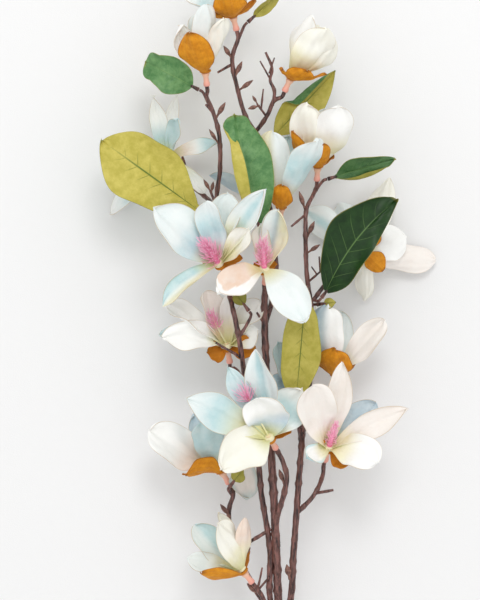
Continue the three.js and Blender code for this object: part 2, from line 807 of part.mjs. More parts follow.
// A twig with a knot at every third ring, and a peg on its end if it carries something.
function twig(points, from, to, step = TWIG_STEP, pegRadius = 0, pegLength = 0) {
  const length = new THREE.CatmullRomCurve3(points, false, 'centripetal').getLength();
  const wooded = length - pegLength;
  const steps = Math.max(1, Math.round(wooded / step));
  const stations = [];
  for (let i = 0; i <= steps; i += 1) {
    const swell = i % 3 === 1 && i < steps ? KNOT_SWELL : 1;
    stations.push([(wooded * i) / steps, THREE.MathUtils.lerp(from, to, i / steps) * swell]);
  }
  if (pegLength > 0) {
    stations.push([wooded, pegRadius], [length, pegRadius]);
  }
  return rod(points, stations, TWIG_SIDES);
}

function bud([start, end, radius]) {
  const length = vec(end).distanceTo(vec(start));
  const foot = radius * 0.45;
  const stations = [[0, foot], [length * 0.3, foot], [length * 0.55, radius], [length, 0.3]];
  return rod([vec(start), vec(end)], stations, 4);
}

function wood() {
  const pieces = [];
  TWIGS.forEach(({ route, from, to, bloom }) => {
    const points = route.map(vec);
    if (bloom === undefined) {
      pieces.push(twig(points, from, to));
      return;
    }
    const axis = vec(BLOOMS[bloom].axis).normalize();
    const mouth = vec(BLOOMS[bloom].base).addScaledVector(axis, -COLLAR_LENGTH - 1.5 * GAP);
    const pegEnd = mouth.clone().addScaledVector(axis, PEG_DEPTH);
    points.push(mouth.clone().addScaledVector(axis, -5), mouth, pegEnd);
    pieces.push(twig(points, from, to, TWIG_STEP, PEG_RADIUS, PEG_DEPTH));
  });
  LEAVES.forEach((leaf) => {
    const way = leafWay(leaf);
    const mouth = vec(leaf.base).addScaledVector(way, -1.5 * GAP);
    const pegEnd = mouth.clone().addScaledVector(way, LEAF_PEG_DEPTH);
    const points = [vec(leaf.from), mouth.clone().addScaledVector(way, -3), mouth, pegEnd];
    pieces.push(twig(points, 1.4, 1.3, TWIG_STEP, LEAF_PEG_RADIUS, LEAF_PEG_DEPTH));
  });
  STUBS.forEach(([start, end, from, to]) => {
    const points = [vec(start), vec(end)];
    pieces.push(rod(points, [[0, from], [points[0].distanceTo(points[1]), to]], 4));
  });
  BUDS.forEach((shape) => pieces.push(bud(shape)));
  return fuse(pieces);
}

// ---- the whole spray ---------------------------------------------------

const spray = new THREE.Group();
spray.position.copy(vec(SPRAY_CENTRE)).negate();
const origin = new THREE.Vector3();
spray.add(meshOf('branch_wood', aboveTable(wood(), origin), BROWN_WOOD, origin));
BLOOMS.forEach((bloom, index) => spray.add(...bloomMeshes(bloom, index)));
LEAVES.forEach((leaf, index) => spray.add(leafMesh(leaf, index)));

export default spray;
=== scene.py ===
# %% [markdown]
# # A spray of artificial magnolia
# The object is a forked woody stem of plastic over wire, about 0.7 m long, with sixteen silk
# blooms and eleven silk leaves. It lies on a table and is looked at from straight above.
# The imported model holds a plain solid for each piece: wood, plastic core, calyx, petals, leaf.
# This file starts from the places of those solids and makes the fine piece that each stands
# for: waved and tinted petals, creased sepals, veined leaves, threads and knotted bark.

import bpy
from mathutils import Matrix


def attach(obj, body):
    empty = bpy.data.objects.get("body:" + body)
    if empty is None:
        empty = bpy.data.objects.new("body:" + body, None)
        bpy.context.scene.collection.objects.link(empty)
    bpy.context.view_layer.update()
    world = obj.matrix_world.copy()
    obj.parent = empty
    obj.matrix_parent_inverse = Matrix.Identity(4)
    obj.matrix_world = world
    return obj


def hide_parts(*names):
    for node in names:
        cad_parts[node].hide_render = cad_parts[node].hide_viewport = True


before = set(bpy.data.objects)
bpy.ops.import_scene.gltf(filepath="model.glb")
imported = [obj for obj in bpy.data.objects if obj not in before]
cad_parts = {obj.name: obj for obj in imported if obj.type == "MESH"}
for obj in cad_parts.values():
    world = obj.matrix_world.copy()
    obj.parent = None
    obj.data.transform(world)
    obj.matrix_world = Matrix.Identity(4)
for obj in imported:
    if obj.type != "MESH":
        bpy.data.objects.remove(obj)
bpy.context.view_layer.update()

# %% Tools of the lesson
import random
from functools import partial
from math import atan2, copysign, cos, exp, pi, radians, sin, sqrt, tau

import bmesh
import bpy
from mathutils import Matrix, Vector, noise

# %% [markdown]
# ## Where things are
# The routes and tips below count in millimetres on the photograph's own ground: x to the
# right, y to its top, z towards the eye, and the middle of the picture at nought. The packed
# model has its origin under the middle of the spray instead, so a finished piece is moved
# by one vector and scaled once. All places stay readable as real sizes that way.

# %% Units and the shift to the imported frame
MM = 0.001
UP = Vector((0, 0, 1))
SPRAY_CENTRE = Vector((26.27, -44.71, 0))
PICTURE_CENTRE = -SPRAY_CENTRE * MM
PICTURE_HEIGHT = 0.54  # metres of the spray that the picture's 600 pixels show
print("the picture is centred on", tuple(PICTURE_CENTRE))

# %% [markdown]
# ## The camera
# The photograph looks straight at the spray and shows nearly no perspective, which a long
# lens from far away gives. Blender fits the sensor's 36 mm to the longer side of the
# picture, here its height, so the lens follows from the distance by similar triangles.

# %% Camera straight above the spray
SENSOR = 36
EYE_DISTANCE = 4.0
BLOOM_HEIGHT = 0.06


def add_object(name, data):
    made = bpy.data.objects.new(name, data)
    bpy.context.collection.objects.link(made)
    return made


camera_data = bpy.data.cameras.new("eye")
camera_data.sensor_width = SENSOR
camera_data.lens = SENSOR * EYE_DISTANCE / PICTURE_HEIGHT
camera_data.clip_end = 20
camera = add_object("eye", camera_data)
camera.location = PICTURE_CENTRE + UP * (BLOOM_HEIGHT + EYE_DISTANCE)
bpy.context.scene.camera = camera
print("lens", round(camera_data.lens), "mm")

# %% [markdown]
# ## Colours and nodes
# Colours are read off as the hex codes that a screen shows. Shaders count in linear light,
# so one function turns a code into that. A second one fills the sockets of a node: it links
# another node's output, turns a code into a colour and sets a number as it is. A third adds
# one node with it and gives back the output to go on with: every finish is written so.

# %% Helpers for materials
SHARE, FROM, TO = 0, 6, 7  # the sockets of a colour mix
COLOUR_MIX = dict(data_type="RGBA", take=2)


def linear(code):
    parts = [int(code[i:i + 2], 16) / 255 for i in (1, 3, 5)]
    light = [p / 12.92 if p <= 0.04045 else ((p + 0.055) / 1.055) ** 2.4 for p in parts]
    return (*light, 1)


def fill(node, sockets):
    """Fills sockets that are given by name or number, or as a list from the first one on."""
    for socket, value in sockets.items() if isinstance(sockets, dict) else enumerate(sockets):
        if isinstance(value, bpy.types.NodeSocket):
            node.id_data.links.new(value, node.inputs[socket])
        else:
            node.inputs[socket].default_value = linear(value) if isinstance(value, str) else value


def add_node(tree, kind, sockets=(), take=0, stops=(), **settings):
    """Adds one node with its settings, links and the stops of its ramp."""
    made = tree.nodes.new("ShaderNode" + kind)
    for name, value in settings.items():
        setattr(made, name, value)
    for index, (position, code) in enumerate(stops):
        made.color_ramp.elements[index].position = position
        made.color_ramp.elements[index].color = linear(code)
    fill(made, sockets)
    return made.outputs[take]


def new_material(name):
    """A material, its shader, the way to add a node to it, and where a point is: as a spot in
    space, and across, along and on which side of its piece."""
    material = bpy.data.materials.new(name)
    material.use_nodes = True
    add = partial(add_node, material.node_tree)
    spot = add("TexCoord", take="Object")
    where = add("SeparateXYZ", [add("Attribute", take="Vector", attribute_name="place")])
    return material, material.node_tree.nodes["Principled BSDF"], add, spot, where.node.outputs


# %% [markdown]
# ## Silk petal
# Petals are cut from white polyester cloth that is stiffened with size, pressed in a hot
# mould and tinted by hand with thin dye. That gives the eye a matt, faintly downy white,
# fine ribs that fan out from the claw, soft clouds of aqua or peach, and an edge that is
# slightly darker where the hot knife sealed it. The tint of each petal sits in an attribute
# of its own mesh: red counts aqua, green blush, blue cream, and alpha a blue-grey painted
# shade for petals and parts of petals that lie in shade.
# Each thread is 0.3 mm wide here, coarser than the real 0.12 mm, so that it shows close up.

# %% Dyes and painted shade of the petals
petal_silk, petal_shader, add, spot, where = new_material("sized polyester silk, hand tinted")
tint = add("Attribute", attribute_name="tint").node.outputs
amounts = add("SeparateColor", [tint["Color"]]).node.outputs
cloud = add("TexNoise", {"Vector": spot, "Scale": 90, "Detail": 4, "Roughness": 0.6})
uneven = add("MapRange", [cloud, 0.3, 0.7, 0.7, 1.1])
# The alpha channel mixes in #B4C9D4, a blue-grey painted shade and not a dye, for petals or parts of
# petals that lie in shade.
DYES_AND_PAINTED_SHADE = [(amounts[0], "#BFDCDF"), (tint["Alpha"], "#B4C9D4"), (amounts[1], "#EDD3BF"),
    (amounts[2], "#EDE7C2")]

dyed = "#FBFBF8"
for amount, dye in DYES_AND_PAINTED_SHADE:
    broken = add("Math", [amount, uneven], operation="MULTIPLY", use_clamp=True)
    dyed = add("Mix", {SHARE: broken, FROM: dyed, TO: dye}, **COLOUR_MIX)
claw = add("MapRange", [where["Y"], 0.06, 0.34, 0.8, 0])
greened = add("Mix", {SHARE: claw, FROM: dyed, TO: "#DEDB9A"}, **COLOUR_MIX)
across = add("Math", [where["X"]], operation="ABSOLUTE")
hem = add("MapRange", [across, 0.96, 1, 0, 0.65])
opened = add("MapRange", [where["Y"], 0.3, 0.6, 0, 1])
edge = add("Math", [hem, opened], operation="MULTIPLY")
sealed = add("Mix", {SHARE: edge, FROM: greened, TO: "#C9B08C"}, **COLOUR_MIX)

# %% Weave and pressed ribs of the petals
THREAD_MM = 0.3
WAVE_BANDS = 3.2  # how many bands a wave texture of scale 1 draws in one unit
PETAL_RIBS = 15

cloth = add("UVMap", uv_map="cloth")
waves = {"Vector": cloth, "Scale": 1 / THREAD_MM / WAVE_BANDS, "Distortion": 0.4}
warp = add("TexWave", waves, "Fac", bands_direction="X")
weft = add("TexWave", waves, "Fac", bands_direction="Y")
weave = add("Math", [warp, weft], operation="MULTIPLY")
wander = add("Math", [cloud, 9], operation="MULTIPLY")
fan = add("Math", [where["X"], PETAL_RIBS, wander], operation="MULTIPLY_ADD")
ribs = add("Math", [fan], operation="SINE")
woven = add("Bump", {"Height": weave, "Strength": 0.25, "Distance": 0.0001})
ribbed = add("Bump", {"Height": ribs, "Strength": 0.3, "Distance": 0.0004, "Normal": woven})
fill(petal_shader, {"Base Color": sealed, "Normal": ribbed, "Roughness": 0.75,
    "Specular IOR Level": 0.3})
print("made", petal_silk.name)

# %% [markdown]
# ## Dyed sepal
# The calyx and its sepals are the same cloth, dyed through in amber and dipped a second
# time at the edges, which leaves a darker brown rim, brown veins and a cloudy middle on
# one side. The other side is plain amber.

# %% Material of the calyx
sepal_silk, shader, add, spot, where = new_material("dip-dyed amber silk")
cloud = add("TexNoise", {"Vector": spot, "Scale": 160, "Detail": 5, "Roughness": 0.65})
amber = add("ValToRGB", [cloud], stops=[(0.32, "#CA7C12"), (0.66, "#E59A22")])
across = add("Math", [where["X"]], operation="ABSOLUTE")
reach = add("Math", [across, where["Y"]], operation="MAXIMUM")
dipped = add("MapRange", [reach, 0.93, 1, 0, 0.75])
rim = add("Mix", {SHARE: dipped, FROM: amber, TO: "#7A4218"}, **COLOUR_MIX)
fan = add("Math", [where["X"], 22], operation="MULTIPLY")
ribs = add("Math", [fan], operation="SINE")
vein = add("MapRange", [ribs, 0.8, 1, 0, 0.12])
veined = add("Mix", {SHARE: vein, FROM: rim, TO: "#8A4A18"}, **COLOUR_MIX)
lined = add("Mix", {SHARE: where["Z"], FROM: "#C67D22", TO: veined}, **COLOUR_MIX)
ribbed = add("Bump", {"Height": ribs, "Strength": 0.25, "Distance": 0.0005})
fill(shader, {"Base Color": lined, "Normal": ribbed, "Roughness": 0.62, "Specular IOR Level": 0.25})
print("made", sepal_silk.name)

# %% [markdown]
# ## Moulded collar and drawn threads
# Each bloom stands on a collar of soft polyethylene in a salmon pink, creamier towards the
# flower, with a low gloss. The stamens are polyester threads, drawn and dyed hot pink. Their
# colour is painted paler towards the tips: painted light, where light comes through them.
# They are dark between each other.

# %% Materials of the core and the threads
collar_plastic, shader, add, spot, where = new_material("moulded polyethylene, salmon")
blush = add("ValToRGB", [where["Y"]], stops=[(0, "#EFA193"), (1, "#F1D9B4")])
grain = add("TexNoise", {"Vector": spot, "Scale": 900, "Detail": 3})
skin = add("Bump", {"Height": grain, "Strength": 0.3, "Distance": 0.0003})
fill(shader, {"Base Color": blush, "Normal": skin, "Roughness": 0.42})

thread_dye, shader, add, _, where = new_material("drawn polyester thread, hot pink")
# The ramp runs from hot pink at each thread's foot to a paler pink at its tip, painted light where
# light comes through the thread.
pink = add("ValToRGB", [where["Y"]], stops=[(0, "#F27AB0"), (1, "#FFD0E4")])
fill(shader, {"Base Color": pink, "Roughness": 0.45})
print("made", collar_plastic.name, "and", thread_dye.name)

# %% [markdown]
# ## Bark and buds
# Twigs are wire in a moulded polyethylene skin, painted nearly black brown and brushed with
# mauve on what stands up. Knots are an even brown. The paint is satin, so it keeps a thin
# line of light along each twig. Buds are dipped in plain brown.

# %% Materials of the wood
bark_paint, shader, add, spot, where = new_material("painted polyethylene bark")
stretch = add("Mapping", {"Vector": spot, "Scale": (1, 0.13, 1)})
streak = add("TexNoise", {"Vector": stretch, "Scale": 420, "Detail": 5, "Roughness": 0.7})
bark = add("ValToRGB", [streak], stops=[(0.4, "#200E0C"), (0.64, "#8C5E56")])
knotted = add("Mix", {SHARE: where["Z"], FROM: bark, TO: "#6E4A42"}, **COLOUR_MIX)
rough = add("Bump", {"Height": streak, "Strength": 0.45, "Distance": 0.0008})
fill(shader, {"Base Color": knotted, "Normal": rough, "Roughness": 0.28, "Specular IOR Level": 0.5})

bud_paint, shader, add, spot, _ = new_material("dipped brown bud")
dapple = add("TexNoise", {"Vector": spot, "Scale": 400, "Detail": 4})
brown = add("ValToRGB", [dapple], stops=[(0.35, "#54352F"), (0.65, "#8E6557")])
rough = add("Bump", {"Height": dapple, "Strength": 0.4, "Distance": 0.0004})
fill(shader, {"Base Color": brown, "Normal": rough, "Roughness": 0.5})
print("made", bark_paint.name, "and", bud_paint.name)

# %% [markdown]
# ## Printed leaf
# A leaf is one sheet of cloth, printed deep green on its face and olive on its back, and
# pressed so that the midrib and the side veins stand up. The veins are printed paler on the
# face and darker on the back. They leave the midrib at a slant, which a saw-tooth of along
# minus across draws on any leaf.

# %% The two prints of a leaf
SIDE_VEINS = 7
VEIN_SLANT = 1.6
FACE_PRINT = dict(deep="#4A7A45", pale="#759F66", vein="#7FA45C", reach=0.85, strength=0.5)
BACK_PRINT = dict(deep="#B7AC49", pale="#CFC262", vein="#4E7028", reach=0.36, strength=0.95)


def print_side(add, along, cloud, tooth, across, depth, ink):
    """The ground and veins of one side of the cloth, and how high its veins stand."""
    ground = add("ValToRGB", [cloud], stops=[(0.38, ink["deep"]), (0.66, ink["pale"])])
    inked = add("Mix", {SHARE: depth, FROM: ground, TO: "#4C6C40"}, **COLOUR_MIX, blend_type="MULTIPLY")
    side_vein = add("MapRange", [tooth, 0, 0.04, 0.75, 0])
    faded = add("MapRange", [across, ink["reach"] * 0.5, ink["reach"], 1, 0])
    spur = add("Math", [side_vein, faded], operation="MULTIPLY")
    midrib = add("MapRange", [across, 0.005, 0.035, 1, 0])
    veins = add("Math", [spur, midrib], operation="MAXIMUM")
    ended = add("MapRange", [along, 0.6, 0.95, ink["strength"], 0.1])
    shown = add("Math", [veins, ended], operation="MULTIPLY")
    printed = add("Mix", {SHARE: shown, FROM: inked, TO: ink["vein"]}, **COLOUR_MIX)
    return printed, shown


# %% Materials of the leaves
def leaf_material(name, upper, lower, gloss):
    material, shader, add, spot, where = new_material(name)
    cloud = add("TexNoise", {"Vector": spot, "Scale": 110, "Detail": 6, "Roughness": 0.7})
    across = add("Math", [where["X"]], operation="ABSOLUTE")
    back = add("Math", [across, -VEIN_SLANT], operation="MULTIPLY")
    slant = add("Math", [where["Y"], SIDE_VEINS + 1, back], operation="MULTIPLY_ADD")
    tooth = add("Math", [slant, 0.5], operation="PINGPONG")
    tint = add("Attribute", attribute_name="tint")
    depth = add("SeparateColor", [tint])
    drawn = (add, where["Y"], cloud, tooth, across, depth)
    upper_colour, upper_veins = print_side(*drawn, upper)
    lower_colour, _ = print_side(*drawn, lower)
    two_sided = add("Mix", {SHARE: where["Z"], FROM: upper_colour, TO: lower_colour}, **COLOUR_MIX)
    rim = add("Math", [across, where["Y"]], operation="MAXIMUM")
    cut = add("MapRange", [rim, 0.965, 1, 0, 0.55])
    browned = add("Mix", {SHARE: cut, FROM: two_sided, TO: "#A39A4C"}, **COLOUR_MIX)
    pressed_in = add("Bump", {"Height": upper_veins, "Strength": 0.6, "Distance": 0.0008})
    fine = add("TexNoise", {"Vector": spot, "Scale": 1400, "Detail": 2})
    woven = add("Bump", {"Height": fine, "Strength": 0.35, "Distance": 0.0003, "Normal": pressed_in})
    fill(shader, {"Base Color": browned, "Normal": woven, "Roughness": gloss,
        "Specular IOR Level": 0.32})
    return material


leaf_face = leaf_material("printed leaf cloth, green side up", FACE_PRINT, BACK_PRINT, 0.42)
leaf_back = leaf_material("printed leaf cloth, olive side up", BACK_PRINT, FACE_PRINT, 0.6)
print("made", leaf_face.name, "and", leaf_back.name)

# %% [markdown]
# ## Mesh helpers
# All meshes start from a bmesh grid. Bent about a curve it is a blade of cloth, and wrapped
# round one it is a twig or a thread. Each point keeps its own place on the piece, across and
# along, and its tint, so that the materials above can follow the surface.

# %% A bmesh with its attributes, and the way to finish it
WELD_MM = 0.001
SHARP_DEGREES = 50


def smooth_step(low, high, value):
    """Goes from 0 at low to 1 at high, also where low is the larger."""
    share = min(1, max(0, (value - low) / (high - low)))
    return share * share * (3 - 2 * share)


def new_bmesh():
    bm = bmesh.new()
    bm.verts.layers.float_vector.new("place")
    bm.verts.layers.float_vector.new("facing")
    bm.verts.layers.float_color.new("tint")
    bm.loops.layers.uv.new("cloth")
    return bm


def finish_piece(name, bm, materials, node, slot):
    """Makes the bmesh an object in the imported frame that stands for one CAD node."""
    bmesh.ops.remove_doubles(bm, verts=bm.verts, dist=WELD_MM)
    for vert in bm.verts:
        vert.co.z = max(vert.co.z, 0)
    bmesh.ops.recalc_face_normals(bm, faces=bm.faces)
    bm.verts.layers.float_vector.remove(bm.verts.layers.float_vector["facing"])
    bmesh.ops.translate(bm, verts=bm.verts, vec=-SPRAY_CENTRE)
    bmesh.ops.scale(bm, verts=bm.verts, vec=(MM, MM, MM))
    for face in bm.faces:
        face.smooth = True
    mesh = bpy.data.meshes.new(name)
    bm.to_mesh(mesh)
    bm.free()
    mesh.set_sharp_from_angle(angle=radians(SHARP_DEGREES))
    for material in materials:
        mesh.materials.append(material)
    piece = add_object(name, mesh)
    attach(piece, "root")
    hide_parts(node)
    print(name, len(mesh.polygons), "faces")


# %% [markdown]
# ## A blade of cloth
# Petals, sepals and leaves are the same thing: a strip that follows a curve, widens and
# narrows, and is cupped across. A grid is laid on that surface by a formula, pushed in and
# out a little so that it looks pressed and handled, and then given its thickness.

# %% The curve that a blade follows
CURVE_STEPS = 12


class Curve:
    """A quadratic Bezier curve through space, from root to tip."""

    def __init__(self, root, bow, tip):
        self.root, self.bow, self.tip = root, bow, tip

    def point(self, t):
        return self.root * (1 - t) ** 2 + self.bow * 2 * t * (1 - t) + self.tip * t * t

    def tangent(self, t):
        return ((self.bow - self.root) * (1 - t) + (self.tip - self.bow) * t).normalized()

    def length(self):
        steps = [self.point(i / CURVE_STEPS) for i in range(CURVE_STEPS + 1)]
        return sum((b - a).length for a, b in zip(steps, steps[1:]))


# %% Laying a blade, with a folded edge where it has one
PETAL_GRID = (18, 30)
CLOTH_THICK = 0.5
NO_FOLD = (1, 2, 3, 1)
FOLD_OPENS = 0.15
FOLD_CLOSES = 0.25
FOLD_TURN = pi * 0.93
ROLLED_BY = 0.4


def turn_over(s, t, half, fold):
    """Rolls an edge back over the face beyond a line, and gives its new place and height.
    The fold says where the line is across, from and to where it opens along, and its radius."""
    line, start, stop, radius = fold
    side = copysign(1, line)
    opened = smooth_step(start, start + FOLD_OPENS, t) * smooth_step(stop, stop - FOLD_CLOSES, t)
    limit = 1 - (1 - abs(line)) * opened
    arc = (s * side - limit) * half
    if arc <= 0 or opened == 0:
        return s, 0
    bend = min(arc / radius, FOLD_TURN)
    flat = arc - bend * radius
    across = limit * half + radius * sin(bend) + flat * cos(bend)
    return side * across / half, radius * (1 - cos(bend)) + flat * sin(bend)


def lay_blade(bm, curve, side, half_width, cup, roll, relief, paint, fold=NO_FOLD, grid=PETAL_GRID):
    """Lays one closed sheet along a curve."""
    place = bm.verts.layers.float_vector["place"]
    tint = bm.verts.layers.float_color["tint"]
    facing = bm.verts.layers.float_vector["facing"]
    cloth = bm.loops.layers.uv["cloth"]
    sheet = bmesh.ops.create_grid(bm, x_segments=grid[0], y_segments=grid[1], size=1)
    faces = {face for vert in sheet["verts"] for face in vert.link_faces}
    length = curve.length()
    for vert in sheet["verts"]:
        s = vert.co.x
        t = sin(pi / 2 * (vert.co.y + 1) / 2)
        tangent = curve.tangent(t)
        across = Matrix.Rotation(radians(roll) * min(1, t / ROLLED_BY), 3, tangent) @ side
        inward = tangent.cross(across).normalized()
        half = half_width(t)
        bend = cup(t)
        rise, stretch, spread = relief(s, t)
        vert[place] = (s, t, 0)
        vert[tint] = paint(s, t)
        s, turned = turn_over(s * spread, t, half, fold)
        normal = inward * cos(bend * s) - across * sin(bend * s)
        vert.co = curve.point(t)
        vert.co += across * (half * sin(bend * s) / bend)
        vert.co += inward * (half * (1 - cos(bend * s)) / bend)
        vert.co += normal * (rise + turned) + tangent * stretch
        vert[facing] = normal
    for face in faces:
        for loop in face.loops:
            s, t = loop.vert[place][:2]
            loop[cloth].uv = (s * half_width(t), t * length)
        face.normal_update()
    for vert in sheet["verts"]:
        vert.normal_update()
    agreed = sum(vert.normal.dot(vert[facing]) for vert in sheet["verts"])
    for vert in sheet["verts"]:
        vert[facing] = vert.normal * copysign(1, agreed)
    back = bmesh.ops.extrude_face_region(bm, geom=list(faces))["geom"]
    for vert in back:
        if isinstance(vert, bmesh.types.BMVert):
            vert.co -= vert[facing] * CLOTH_THICK
            vert[place].z = 1


# %% [markdown]
# ## Hand-tinted petals
# A petal is written in pairs of words, such as "aqua tip, cream base, end sharp". A pair that
# starts with a dye names the part of the petal that it was wiped on. A pair that starts with
# grey names the part that is painted blue-grey as painted shade, where the petal lies in shade.
# The part is a soft mask over across (s, from -1 to 1) and along (t, from 0 to 1), as a brush
# leaves it. A pair that starts with "tip", "cup", "edge", "end" or "widest" is about its
# shape, further down.

# %% Words for the dyes and the painted shade
# grey is not a dye: it paints blue-grey shade on petals and parts of petals that lie in shade.
DYE_AND_SHADE_NAMES = ["aqua", "blush", "cream", "grey"]
BRUSHED = {
    "all": lambda s, t: 0.85,
    "faint": lambda s, t: 0.3,
    "tip": lambda s, t: smooth_step(0.5, 0.85, t),
    "base": lambda s, t: 1 - smooth_step(0.25, 0.65, t),
    "middle": lambda s, t: exp(-((t - 0.55) / 0.22) ** 2) * (1 - 0.5 * s * s),
    "left": lambda s, t: smooth_step(0.3, -0.5, s),
    "right": lambda s, t: smooth_step(-0.3, 0.5, s),
    "rim": lambda s, t: max(smooth_step(0.6, 0.95, abs(s)), smooth_step(0.85, 1, t)),
    "rib": lambda s, t: exp(-(s / 0.25) ** 2),
    "flap": lambda s, t: (smooth_step(0.36, 0.28, s + 0.1 * sin(t * 9))
        * smooth_step(0.9, 0.84, t)),
}


def painter(words):
    """Turns the words into a function of a petal's place that gives its three dyes and its painted
    blue-grey shade.
    """
    pairs = [pair.split() for pair in words.split(",") if pair]
    wipes = [(DYE_AND_SHADE_NAMES.index(dye), BRUSHED[part]) for dye, part in pairs if dye in DYE_AND_SHADE_NAMES]

    def paint(s, t):
        wiped = [0, 0, 0, 0]
        for channel, mask in wipes:
            wiped[channel] = min(1, wiped[channel] + mask(s, t))
        return wiped
    return paint
